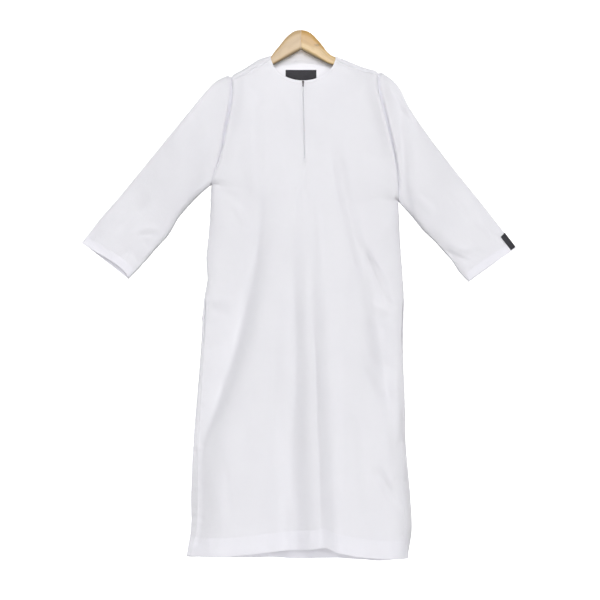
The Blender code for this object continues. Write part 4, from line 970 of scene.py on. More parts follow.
@dataclass
class BodyPanel:
    """The front or the back of the body, worked out side by side from its two halves."""

    form: RobeForm
    face: Face
    shoulder_cells: int = 6
    neck_cells: int = 9
    parts: int = 4
    cloth: float = 0.0007
    hem_extra: float = 0.0004
    neck_band: float = 0.008
    hem_seeds: tuple[int, int] = (0, 0)
    neck_seed: int = 0
    middle_marks: tuple[float, ...] = ()

    @property
    def cells(self) -> int:
        """The number of coarse columns from the side to the middle."""
        return self.shoulder_cells + self.neck_cells

    @property
    def down_upper(self) -> Array:
        """How far down each row between the top edge and the armpits lies, from 0 to 1."""
        return finer(self.form.upper_rows, 5, NECK_MARKS)[:, None]

    @property
    def down_skirt(self) -> Array:
        """How far down each row below the armpits lies, from 0 to 1."""
        return finer(np.linspace(0, 1, self.form.skirt_rows + 1).tolist(), 6, HEM_MARKS)[1:, None]

    def inward(self, step: Array) -> Array:
        """How far in from the side a column lies, from 0 to 1."""
        return step / self.cells

    def top(self, side: Side, step: Array) -> tuple[Array, Array]:
        """X and drop of the panel's top edge at each column."""
        raise NotImplementedError

    def low(self, side: Side, step: Array) -> tuple[Array, Array]:
        """X and drop of each column at the armpits' level."""
        raise NotImplementedError

    def skirt(self, side: Side, step: Array, t: Array) -> Array:
        """Places below the armpits."""
        raise NotImplementedError

    def upper(self, side: Side, step: Array, t: Array) -> Array:
        """Places between the top edge and the armpits.

        Args:
            side: Which half.
            step: The column, counted in coarse cells from the side.
            t: How far down, from 0 to 1.

        Returns:
            The places on the outer face.
        """
        f, inward = self.form, self.inward(step)
        (top_x, top_drop), (low_x, low_drop) = self.top(side, step), self.low(side, step)
        first_x, first_drop = self.top(side, np.zeros(1))
        pit = ARMPITS[side]
        arm = f.side_x(side, mix(first_drop, pit, t)) - mix(first_x, f.side_x(side, pit), t)
        x, drop = mix(top_x, low_x, t) + (1 - inward) * arm, mix(top_drop, low_drop, t)
        return spot(x, f.surface_y(self.face, x, drop), drop)

    def columns(self, side: Side) -> tuple[Array, Array]:
        """The columns of each row: some at set distances from the side, then even ones to the middle.

        Args:
            side: Which half.

        Returns:
            The columns of the rows above the armpits, and of those below.
        """
        dense = (np.linspace(0, 1, 160) ** 3)[None]
        found = []
        for make, t in ((self.upper, self.down_upper), (self.skirt, self.down_skirt)):
            run = steps_along(make(side, dense, t), 1)
            marks = [np.interp(np.minimum(SEAM_MARKS, row[-1] * 0.8), row, dense[0]) for row in run]
            rest = finer(range(1, self.cells + 1), self.parts, self.middle_marks)
            rest = np.broadcast_to(rest, (len(t), len(rest)))
            found.append(np.concatenate((np.array(marks), rest), axis=1))
        return found[0], found[1]

    def half(self, side: Side) -> Array:
        """The places of one half, from the side in to the middle."""
        above, below = self.columns(side)
        places = self.upper(side, above, self.down_upper), self.skirt(side, below, self.down_skirt)
        return np.concatenate(places)

    def seam_roll(self, side: Side, places: Array) -> Array:
        """How the cloth dips into its armhole and side seams, with the puckers that stitching draws.

        Args:
            side: Which half.
            places: The half's places.

        Returns:
            The height at each place.
        """
        far, drop = steps_along(places, 1), -places[..., 2]
        below = ease((drop - ARMPITS[side]) / 0.02)
        ripple = waver(drop, 11 + side.value, 0.024) * swell(far, 0.012, 0.003)
        tug = relief_of(PUCKERS[side], far, drop) * ease(far / 0.004)
        deep = (np.abs(places[:, :1, 1]) / self.form.armhole_half_depth) ** ROLL_POWER
        deep = deep * (1.0 if self.face is Face.FRONT else BACK_ROLL)
        roll = ARMHOLE_ROLL * (1 - below) * deep * swell(far, 0.03, ROLL_FOOT)
        return roll + 0.0007 * swell(far) + below * (0.001 * ripple + tug) + (1 - below) * 0.0004 * ripple

    def hem_relief(self, x: Array, up: Array) -> Array:
        """How the turned-up hem moves the cloth: its stitches draw it in, and it waves and thickens below."""
        stitch_seed, wave_seed = self.hem_seeds
        height = -0.00022 * (1 + 0.4 * waver(x, stitch_seed, 0.021)) * dent(up, HEM_DEPTH, 0.0021)
        height = height + 0.0009 * waver(x, wave_seed, 0.046) * dent(up, HEM_DEPTH * 0.8, 0.03)
        return height + 0.0002 * ease((HEM_DEPTH - up) / 0.004)

    def neck_relief(self, x: Array, down: Array) -> Array:
        """How the stitches of the neck's band draw the cloth in, unevenly."""
        pull = 1 + 0.45 * waver(x, self.neck_seed, 0.013)
        return -0.00055 * pull * dent(down, self.neck_band, 0.0011)


# Puckers beside the side seams: their x is the distance from the seam
PUCKERS: dict[Side, tuple[Crease, ...]] = {
    Side.LEFT: each(
        Crease,
        (-4, 1247, 30, 1262, 2, 6, -2.2), (-4, 1278, 26, 1270, 2, 5, -1.8), (-4, 1452, 28, 1462, -2, 6, -2),
        (-4, 1490, 22, 1484, 1, 5, -1.8), (-4, 905, 34, 880, 2, 8, 2),
    ),
    Side.RIGHT: each(
        Crease,
        (-4, 1355, 36, 1345, 3, 7, -2.6), (-4, 1386, 24, 1392, -2, 5, -1.8), (-4, 1508, 28, 1500, 2, 6, -2.2),
        (-4, 1240, 26, 1252, 2, 6, -1.6), (-4, 862, 40, 838, 3, 8, 2.2),
    ),
}

BODY_CREASES: dict[Face, tuple[Crease, ...]] = {
    Face.FRONT: each(
        Crease,
        (-112, 470, -150, 860, 10, 10, -2.2, 1.5), (-150, 800, -232, 1110, 12, 12, -2.4, 1.5),
        (-214, 1040, -292, 1270, 6, 10, -2.2), (-205, 560, -150, 640, 8, 12, 1.8),
        (-238, 535, -170, 560, 6, 12, -1.6, 1.4), (-222, 470, -150, 392, -8, 15, -1.1, 1.2),
        (-205, 300, -120, 345, 6, 14, -1.3), (-168, 225, -90, 300, 6, 12, 1.4),
        (192, 222, 118, 290, -6, 12, 1.5), (222, 330, 150, 372, -6, 14, -1.4),
        (246, 440, 160, 420, 7, 15, -1, 1.2), (258, 555, 186, 560, -6, 11, -2.4, 1.6),
        (262, 600, 204, 668, 8, 13, 1.9), (94, 418, 140, 640, -6, 10, -1.7),
        (160, 690, 256, 835, 14, 10, -3.4, 1.6), (190, 838, 276, 876, -5, 11, 3),
        (176, 905, 272, 950, 6, 12, -1.8), (204, 1010, 276, 1050, 4, 12, -2.6),
        (232, 1098, 284, 1150, 4, 11, -2.2), (222, 1350, 288, 1398, 3, 11, -2.4),
        (-268, 842, -185, 850, 4, 13, 2.6), (-262, 868, -196, 890, 4, 10, -1.8),
        (-274, 990, -226, 960, 3, 12, -1.4), (-60, 250, -22, 330, 4, 11, -0.9),
        (70, 250, 36, 345, -4, 12, -1), (12, 455, 16, 560, 2, 8, 1.8), (-4, 470, -14, 640, -3, 9, -1.6),
        (40, 520, 56, 820, 4, 9, -1.6), (30, 860, 44, 1290, 4, 6, 2.6), (44, 1180, 52, 1500, 2, 6, 2.6),
        (-30, 1060, -20, 1470, -6, 12, -2.2), (-118, 1000, -140, 1440, -10, 17, 2),
        (-324, 1200, -334, 1680, 2, 50, -12.5), (262, 1000, 281, 1270, 2, 20, 8),
        (-75, 900, -82, 1260, 6, 14, -1.6), (90, 930, 104, 1360, 6, 14, -1.8),
        (150, 1130, 186, 1480, 6, 15, -2), (118, 700, 128, 960, 5, 14, 1.6),
        (-226, 1240, -206, 1500, 6, 13, -2), (236, 1180, 240, 1330, 4, 12, 1.6),
    ),
    Face.BACK: each(
        Crease,
        (-222, 500, -140, 420, -8, 13, -2.2, 1.4), (-240, 545, -160, 580, 6, 11, -2.4, 1.5),
        (-200, 600, -156, 720, 8, 13, 1.8), (236, 500, 150, 430, 7, 13, -2, 1.4),
        (258, 570, 176, 604, -6, 11, -2.6, 1.5), (214, 650, 170, 790, -8, 13, 1.8),
        (-160, 235, -80, 300, 6, 13, 1.4), (176, 240, 94, 312, -6, 13, 1.5),
        (-70, 215, -10, 262, 8, 12, -1.3), (75, 220, 20, 270, -7, 12, -1.2),
        (-205, 820, -262, 900, 6, 12, -2.6, 1.4), (204, 800, 268, 880, -6, 12, -2.8, 1.4),
        (-125, 860, -176, 1260, 12, 14, -2.4), (120, 900, 168, 1330, -10, 14, -2.2),
        (-45, 700, -62, 1160, 8, 13, -1.8), (48, 760, 70, 1240, -8, 12, -1.8),
        (-8, 1060, 12, 1480, 6, 11, 2.2), (-210, 1120, -246, 1480, 8, 14, 2),
        (214, 1160, 240, 1470, -8, 14, 2), (-268, 1300, -216, 1346, 4, 12, -2),
        (266, 1252, 212, 1300, -4, 12, -1.8),
    ),
}


@dataclass
class FrontPanel(BodyPanel):
    """The front, from the shoulder seams and the neck to the hem, with the slit for the zip."""

    hem_seeds: tuple[int, int] = (7, 19)
    neck_seed: int = 3
    middle_marks: tuple[float, ...] = (14.42, 14.58, 14.72, 14.84, 14.93)
    spread: float = 0.06
    zip_stitch: float = 0.0052

    def inward(self, step: Array) -> Array:
        """How far in from the side a column lies, from 0 to 1."""
        share = step / self.cells
        return share - self.spread * np.sin(2 * pi * share)

    def top(self, side: Side, step: Array) -> tuple[Array, Array]:
        """X and drop of the shoulder seam, then of the neck's scoop as far as the slit."""
        f, table = self.form, SHOULDERS[side]
        along = 1 - step / self.shoulder_cells
        slit = f.slit_width / 2 / f.neck_half_width
        angle = mix(f.neck_seam_angle, pi / 2 - slit, (step - self.shoulder_cells) / self.neck_cells)
        x = f.neck_centre + side.value * f.neck_half_width * np.cos(angle)
        drop = f.neck_drop + f.neck_scoop * np.sin(angle)
        on_seam = step < self.shoulder_cells
        x = np.where(on_seam, table.read("out", along), x)
        return x, np.where(on_seam, table.read("seam", along), drop)

    def low(self, side: Side, step: Array) -> tuple[Array, Array]:
        """X and drop of each column at the armpits' level."""
        f, inward = self.form, self.inward(step)
        drop = mix(ARMPITS[side], MIDDLE_ARMPIT, inward)
        middle = f.zip_x(drop) + side.value * f.slit_width / 2
        return mix(f.side_x(side, ARMPITS[side]), middle, inward), drop

    def skirt(self, side: Side, step: Array, t: Array) -> Array:
        """Places below the armpits."""
        f, inward = self.form, self.inward(step)
        drop = mix(self.low(side, step)[1], f.hems.read("front", side.value * (1 - inward)), t)
        seam, _ = f.seam(side, drop)
        x = mix(seam[..., 0], f.zip_x(drop) + side.value * f.slit_width / 2, inward)
        return spot(x, f.surface_y(Face.FRONT, x, drop), drop)

    def opened(self, side: Side, places: Array) -> Array:
        """The half with its pocket mouth drawn open: the edge moves forward, and the cloth beside it less."""
        far, drop = steps_along(places, 1), -places[..., 2]
        along = self.form.seam(side, drop[:, :1])[1]
        return places + along * (self.form.mouth(drop) * np.exp(-far / 0.014))[..., None]

    def relief(self, side: Side, places: Array, step: Array) -> Array:
        """The height of creases, seams and stitched edges over the main folds.

        Args:
            side: Which half.
            places: The half's places.
            step: The column of each place.

        Returns:
            The height at each place.
        """
        far, down = steps_along(places, 1), steps_along(places, 0)
        up, x, drop = down[-1:] - down, places[..., 0], -places[..., 2]
        calm = ease(far / 0.022) * ease(down / 0.03) * mix(1.0, HEM_CALM, dent(up, 0.0, 0.03))
        height = relief_of(BODY_CREASES[self.face], x, drop) * calm + self.seam_roll(side, places)
        height = height + 0.00045 * (relief_of_noise(x, drop, 5) * ease(far / 0.03) * ease(down / 0.02))
        shoulder = step < self.shoulder_cells
        height = height + np.where(shoulder, SHOULDER_ROLL * swell(down, 0.012, 0.0042), 0)
        band = self.neck_relief(x, down) + 0.0003 * dent(down, 0.004, 0.0026)
        height = height + np.where(shoulder, 0, band) + self.hem_relief(x, up)
        middle = far[:, -1:] - far
        sewn = (drop < self.form.zip_end + 0.012).astype(float)
        beside = -0.0004 * dent(middle, self.zip_stitch, 0.001) + 0.0008 * swell(middle, 0.004, 0.0016)
        beside = beside - 0.0008 * dent(middle, 0, 0.0012)
        tack = -0.0007 * dent(middle, 0, 0.006) * dent(drop, self.form.zip_end + 0.006, 0.004)
        mouth = (self.form.mouth(drop) > 0) * (-0.0005) * dent(far, SEAM_STITCH, 0.0011)
        return height + sewn * beside + tack + mouth

    def grid(self) -> tuple[Grid, dict[Side, tuple[Array, Array]]]:
        """Works out the whole outer face.

        Returns:
            Its grid, and for each half its plain places before relief and its columns.
        """
        raised, plain = {}, {}
        for side in Side:
            step = np.concatenate(self.columns(side))
            places = self.opened(side, self.half(side))
            plain[side] = (places, step)
            way = Grid(places, flips=side is Side.RIGHT)
            raised[side] = way.raised(self.relief(side, places, step)).places
        whole = np.concatenate((raised[Side.LEFT], raised[Side.RIGHT][:, ::-1]), axis=1)
        middle = raised[Side.LEFT].shape[1] - 1
        keep = np.ones((whole.shape[0] - 1, whole.shape[1] - 1), bool)
        slit = np.searchsorted(self.down_upper[:, 0], self.form.upper_rows[self.form.slit_rows] - 1e-6)
        keep[:slit, middle] = False
        return Grid(whole, keep), plain


def relief_of_noise(x: Array, drop: Array, seed: int) -> Array:
    """Soft uneven dimples of about 1 in height, as in pressed cloth that has hung, with no repeat.

    Args:
        x: The places' x.
        drop: Their drop.
        seed: What sets the dimples apart from others.

    Returns:
        The height at each place.
    """
    rng = np.random.default_rng(seed)
    total = np.zeros(np.broadcast(x, drop).shape)
    for _ in range(22):
        turn, pitch = rng.uniform(0, pi), rng.uniform(0.045, 0.17)
        wave = np.sin(2 * pi * (x * cos(turn) + drop * sin(turn) * 0.6) / pitch + rng.uniform(0, 2 * pi))
        total = total + wave * rng.uniform(0.3, 1.0)
    return total / 3.2


@dataclass
class BackPanel(BodyPanel):
    """The back, which comes over the shoulders to the seams in front of them."""

    neck_cells: int = 6
    hem_seeds: tuple[int, int] = (31, 37)
    neck_seed: int = 23
    evenness: float = 0.45
    front: FrontPanel | None = None

    def top(self, side: Side, step: Array) -> tuple[Array, Array]:
        """X and drop a little down the back of the shoulder, then along the neck's edge."""
        f, table = self.form, SHOULDERS[side]
        along = np.maximum(1 - step / self.shoulder_cells, 0.0)
        fall = mix(f.back_fall_at_arm, f.back_fall_at_neck, 1 - along)
        t = np.clip((step - self.shoulder_cells) / self.neck_cells, 0.0, 1.0)
        corner_x, corner = table.read("out", 0.0), table.read("ridge", 0.0) + f.back_fall_at_neck
        rise = f.back_neck_rise * np.sin(pi / 2 * t) ** f.back_neck_bow
        x = np.where(t > 0, mix(corner_x, f.neck_centre, t), table.read("out", along))
        drop = np.where(t > 0, mix(corner, f.back_neck_drop, t) - rise, table.read("ridge", along) + fall)
        return x, drop

    def angle(self, side: Side, drop: Array, outward: Array) -> Array:
        """The angle on the level outline of a column some way out from the middle."""
        return self.form.seam_angle(side, drop) * mix(np.arcsin(outward) / (pi / 2), outward, self.evenness)

    def low(self, side: Side, step: Array) -> tuple[Array, Array]:
        """X and drop of each column at the armpits' level."""
        f, outward = self.form, 1 - self.inward(step)
        drop = mix(MIDDLE_ARMPIT, ARMPITS[side], outward)
        return f.loop(side, drop, self.angle(side, drop, outward))[..., 0], drop

    def skirt(self, side: Side, step: Array, t: Array) -> Array:
        """Places below the armpits."""
        outward = 1 - self.inward(step)
        drop = mix(self.low(side, step)[1], self.form.hems.read("back", side.value * outward), t)
        return self.form.loop(side, drop, self.angle(side, drop, outward))

    def strip(self, side: Side, step: Array) -> Array:
        """The places over one shoulder, from the seam in front by the ridge to just above the main part.

        Args:
            side: Which shoulder.
            step: Its columns, from the armhole in to the neck.

        Returns:
            The places, a row for each level.
        """
        f, table = self.form, SHOULDERS[side]
        along = 1 - step / self.shoulder_cells
        ridge_x, ridge = table.read("out", along), table.read("ridge", along)
        crest = spot(ridge_x, f.sweep(ridge_x, ridge), ridge)[None]
        zero = np.zeros((1, 1))
        seam, behind = self.front.upper(side, step[None], zero), self.upper(side, step[None], zero)
        levels = []
        for end, turn in ((seam, np.linspace(1, 0, 19)[:-1]), (behind, np.linspace(0, 1, 13)[:-1])):
            if end is seam:
                turn = np.concatenate((turn[:1], [0.985, 0.965], turn[1:]))
            a = (turn * pi / 2)[:, None]
            x = mix(crest[..., 0], end[..., 0], 1 - np.cos(a))
            y = mix(crest[..., 1], end[..., 1], np.sin(a))
            z = mix(end[..., 2], crest[..., 2], np.cos(a))
            levels.append(np.stack((x, y, z), axis=-1))
        return np.concatenate(levels)

    def relief(self, side: Side, places: Array, step: Array, strip_rows: int) -> Array:
        """The height of creases, seams and stitched edges over the main folds.

        Args:
            side: Which half.
            places: The half's places, the strip's first.
            step: The column of each place.
            strip_rows: How many rows the strip has.

        Returns:
            The height at each place.
        """
        far, down = steps_along(places, 1), steps_along(places, 0)
        down_neck = down - down[strip_rows : strip_rows + 1]
        up, x, drop = down[-1:] - down, places[..., 0], -places[..., 2]
        top = np.where(step <= self.shoulder_cells, down, np.maximum(down_neck, 0))
        calm = ease(far / 0.022) * ease(top / 0.05) * mix(1.0, HEM_CALM, dent(up, 0.0, 0.03))
        height = relief_of(BODY_CREASES[self.face], x, drop) * calm + self.seam_roll(side, places)
        height = height + 0.00045 * relief_of_noise(x, drop, 29) * ease(far / 0.03) * ease(top / 0.05)
        height = height + np.where(step <= self.shoulder_cells, SHOULDER_ROLL * swell(down, 0.012, 0.0042), 0)
        at_neck = (step > self.shoulder_cells) & (down_neck >= 0)
        return height + np.where(at_neck, self.neck_relief(x, down_neck), 0) + self.hem_relief(x, up)

    def grid(self) -> tuple[Grid, dict[Side, tuple[Array, Array]], int]:
        """Works out the whole outer face.

        Returns:
            Its grid, for each half its plain places and columns, and the number of the strips' rows.
        """
        raised, plain, rows = {}, {}, 0
        for side in Side:
            columns, body = self.columns(side), self.half(side)
            edge = columns[0][0]
            inner = int(np.searchsorted(edge, self.shoulder_cells - 1e-9))
            strip = self.strip(side, np.minimum(edge, self.shoulder_cells))
            rows = strip.shape[0]
            strip[:, inner + 1 :] = body[:1, inner + 1 :]
            places = np.concatenate((strip, body))
            step = np.concatenate((np.broadcast_to(edge, (rows, len(edge))), *columns))
            keep = np.ones((places.shape[0] - 1, places.shape[1] - 1), bool)
            keep[:rows, inner:] = False
            plain[side] = (places, step)
            way = Grid(places, keep, flips=side is Side.LEFT)
            raised[side] = (way.raised(self.relief(side, places, step, rows)).places, keep)
        (left, left_keep), (right, right_keep) = raised[Side.LEFT], raised[Side.RIGHT]
        left[:, -1] = right[:, -1] = (left[:, -1] + right[:, -1]) / 2
        whole = np.concatenate((left, right[:, -2::-1]), axis=1)
        return Grid(whole, np.concatenate((left_keep, right_keep[:, ::-1]), axis=1), flips=True), plain, rows


# Sleeves

RING_STATIONS = (0, 0.05, 0.11, 0.18, 0.26, 0.34, 0.42, 0.5, 0.58, 0.66, 0.74, 0.82, 0.9, 0.96, 1)
RING_MARKS = (0.004, 0.009, 0.016, 0.945, 0.9515, 0.957, 0.9625, 0.994, 0.998)
RINGS: dict[Side, Table] = {
    Side.LEFT: Table(("along", "top_x", "top", "low_x", "low", "half_depth", "skew"), (
        (0, -0.1976, 0.2087, -0.2545, 0.5114, 0.028, 0), (0.08, -0.2516, 0.2314, -0.2743, 0.5285, 0.033, 0),
        (0.2, -0.3255, 0.3196, -0.3085, 0.5584, 0.034, 0), (0.35, -0.4023, 0.4105, -0.3483, 0.6039, 0.03, 0),
        (0.5, -0.4648, 0.4844, -0.378, 0.654, 0.027, 0), (0.65, -0.5245, 0.5555, -0.4222, 0.7034, 0.025, 0),
        (0.8, -0.57, 0.6075, -0.4535, 0.7403, 0.022, 0.002),
        (1, -0.624, 0.6778, -0.4933, 0.7801, 0.018, 0.02),
    )),
    Side.RIGHT: Table(("along", "top_x", "top", "low_x", "low", "half_depth", "skew"), (
        (0, 0.2146, 0.199, 0.2743, 0.5584, 0.028, 0), (0.08, 0.2687, 0.2314, 0.2857, 0.5726, 0.033, 0),
        (0.2, 0.3056, 0.2997, 0.3113, 0.5982, 0.034, 0), (0.35, 0.3653, 0.3849, 0.3454, 0.6408, 0.031, 0),
        (0.5, 0.4336, 0.4702, 0.3852, 0.6835, 0.028, 0), (0.65, 0.4961, 0.547, 0.4222, 0.7261, 0.025, 0),
        (0.8, 0.5501, 0.6152, 0.446, 0.7574, 0.022, 0.001), (1, 0.6098, 0.692, 0.4762, 0.7886, 0.017, 0.006),
    )),
}
SLEEVE_CREASES: dict[Side, tuple[Crease, ...]] = {
    Side.LEFT: each(
        Crease,
        (-420, 540, -545, 668, 6, 20, -6.6, 1.3), (-398, 664, -474, 672, -10, 9, -4, 1.5),
        (-392, 650, -468, 655, -10, 11, 2.4), (-420, 700, -450, 664, 3, 7, -2.2),
        (-446, 742, -482, 702, 3, 8, -2.2), (-586, 596, -556, 616, 2, 6, -1.8),
        (-320, 405, -400, 505, -6, 16, -1.2), (-262, 330, -318, 410, -6, 13, 2.2),
        (-258, 470, -330, 540, 8, 12, -2.8, 1.4), (-290, 540, -360, 590, 6, 11, 2.2),
        (-500, 580, -580, 664, 4, 12, 2.2), (-470, 690, -540, 742, -4, 11, -2.2),
    ),
    Side.RIGHT: each(
        Crease,
        (405, 694, 486, 730, -6, 9, -4.2, 1.5), (410, 668, 480, 702, -6, 11, 2.2),
        (402, 706, 430, 716, 2, 6, -2.4), (338, 636, 456, 786, 6, 22, -11),
        (236, 216, 306, 340, -4, 10, -5.6, 1.6), (250, 330, 312, 575, -4, 16, 5),
        (306, 540, 380, 608, 6, 12, 2.4), (395, 530, 480, 628, 8, 14, -2.4), (482, 600, 560, 682, 5, 12, 2.2),
        (448, 720, 520, 700, 4, 10, -2), (545, 640, 588, 690, 3, 9, -1.8),
    ),
}


@dataclass
class Sleeve:
    """One sleeve, an open tube from the armhole's loop to the cuff."""

    form: RobeForm
    side: Side
    front: FrontPanel
    back: BackPanel
    blend: float = 0.26
    roundness: float = 0.36
    cloth: float = 0.0007
    cuff_hem: float = 0.024
    seam_index: int = 11
    count: int = 21

    def frame(self, along: Array) -> tuple[Array, Array, Array, Array, Array]:
        """Middle, half width, half depth, direction down the sleeve and draw-back at places along it.

        Args:
            along: The places, from 0 at the armhole to 1 at the cuff.

        Returns:
            Those five values at each place.
        """
        rings = RINGS[self.side]
        top_x, top, low_x, low, deep, skew = (rings.read(c, along) for c in rings.columns[1:])
        upper = spot(top_x, self.form.sweep(top_x, top), top)
        half = (spot(low_x, 0 * low_x, low) - upper) / 2
        down = unit(np.stack((-half[..., 2], 0 * half[..., 0], half[..., 0]), axis=-1)) * self.side.value
        return upper + half, half, deep, down, skew

    def point(self, along: Array, angle: Array) -> Array:
        """Places on the outer face: angle 0 is the upper edge and 90 degrees the front.

        Args:
            along: How far along the sleeve, from 0 to 1.
            angle: How far round it.

        Returns:
            The places.
        """
        along, angle = np.broadcast_arrays(along, angle)
        middle, half, deep, down, skew = self.frame(along)
        place = middle - half * np.cos(angle)[..., None]
        place[..., 1] -= deep * np.sign(np.sin(angle)) * np.abs(np.sin(angle)) ** self.roundness
        back = skew * np.maximum(np.sin(angle), 0) * (1 - np.cos(angle)) / 2
        return place - down * back[..., None]

    def loop(self, index: Array) -> Array:
        """Places on the armhole's loop: from the ridge down the front, by the armpit and up the back.

        Args:
            index: How far round the loop, in coarse cells from the ridge.

        Returns:
            The places.
        """
        f, side, last = self.form, self.side, len(self.form.upper_rows) - 1
        zero = np.zeros((1, 1))
        crest_x, crest = SHOULDERS[side].rows[-1][1:3]
        top = spot(np.array(crest_x), f.sweep(np.array(crest_x), crest), crest)
        places = []
        for at in index:
            if 3 <= at <= 3 + 2 * last:
                ahead = at <= 3 + last
                t = np.interp(at - 3 if ahead else 3 + 2 * last - at, np.arange(last + 1), f.upper_rows)
                panel = self.front if ahead else self.back
                places.append(panel.upper(side, zero, np.full((1, 1), t))[0, 0])
                continue
            ahead = at < 3
            turn = at / 3 * pi / 2 if ahead else (self.count - at) / 2 * pi / 2
            end = (self.front if ahead else self.back).upper(side, zero, zero)[0, 0]
            x, y = mix(top[0], end[0], 1 - cos(turn)), mix(top[1], end[1], sin(turn))
            places.append(np.array((x, y, mix(end[2], top[2], cos(turn)))))
        return np.array(places)

    def smooth_tube(self) -> tuple[Array, Array]:
        """The outer face before its creases.

        Returns:
            Its places, a row for each ring, and the columns' angles round the sleeve.
        """
        along = finer(RING_STATIONS, 6, RING_MARKS)
        index = np.arange(0, self.count, 0.2)
        past = 1 + (index - self.seam_index) / (self.count - self.seam_index)
        angle = pi * np.where(index <= self.seam_index, index / self.seam_index, past)
        loop = self.loop(index)
        start, start_half, _, start_down, _ = self.frame(np.array(0.0))
        offset = loop - start
        lowness, bulge = offset @ start_half / (start_half @ start_half), offset @ start_down
        middle, half, _, down, _ = self.frame(along[:, None])
        loose = middle + half * lowness[None, :, None] + down * bulge[None, :, None]
        settled = (1 - ease(along / 0.05))[:, None, None] * (loop - loose[0])[None]
        loose = loose + settled
        loose[..., 1] = loop[None, :, 1]
        regular = ease(along / self.blend)[:, None, None]
        return mix(loose, self.point(along[:, None], angle[None]), regular), angle

    def relief(self, places: Array, angle: Array) -> Array:
        """The height of creases, seams and the hemmed cuff.

        Args:
            places: The smooth places.
            angle: The columns' places round it.

        Returns:
            The height at each place.
        """
        down = steps_along(places, 0)
        up, x, drop = down[-1:] - down, places[..., 0], -places[..., 2]
        ahead = ease((np.sin(angle) + 0.25) / 0.5)[None]
        calm = ease(down / 0.02) * ease(up / 0.03) * (0.35 + 0.65 * np.abs(np.sin(angle))[None])
        creases = SLEEVE_CREASES[self.side]
        hidden = relief_of(creases, x + self.side.value * 0.014, drop - 0.012)
        height = calm * (ahead * relief_of(creases, x, drop) + (1 - ahead) * hidden)
        height = height + calm * 0.0005 * relief_of_noise(x, drop, 41 + self.side.value)
        deep = (np.abs(places[:1, :, 1]) / self.form.armhole_half_depth) ** ROLL_POWER
        deep = deep * mix(BACK_ROLL, 1.0, ahead)
        roll = ARMHOLE_ROLL * deep * swell(down, 0.05, ROLL_FOOT) + 0.0007 * swell(down)
        puckers = 0.0005 * waver(np.broadcast_to(angle * 0.09, x.shape), 51 + self.side.value, 0.021)
        round_it = np.broadcast_to(np.abs(angle - pi) * 0.09, x.shape)
        seam = -0.0009 * dent(round_it, 0, 0.0022) * ease(down / 0.01)
        pull = 1 + 0.4 * waver(np.broadcast_to(angle * 0.07, x.shape), 61, 0.016)
        hem = -0.0004 * pull * dent(up, self.cuff_hem, 0.0014) + 0.0002 * ease((self.cuff_hem - up) / 0.004)
        return height + roll + puckers * swell(down, 0.012, 0.003) + seam + hem

    def build(self) -> None:
        """Builds the sleeve's cloth and its stitching."""
        name = f"{self.side.word}_sleeve"
        places, angle = self.smooth_tube()
        grid = Grid(places, wraps=True, flips=self.side is Side.RIGHT)
        grid = grid.raised(self.relief(places, angle))
        up = steps_up(grid.places)
        deep = self.cloth + 0.0006 * ease((self.cuff_hem - up) / 0.001)
        piece = settle(shell(f"{name}_cloth", [grid], [deep]), Finish.CLOTH, name)
        places, out = grid.line(self.cuff_hem, 0, up)
        line = np.concatenate((places, places[:1])), np.concatenate((out, out[:1]))
        seam = settle(Stitches().build(f"{name}_cloth_stitches", [line]), Finish.THREAD)


# The whole body with its stitching, facings and labels


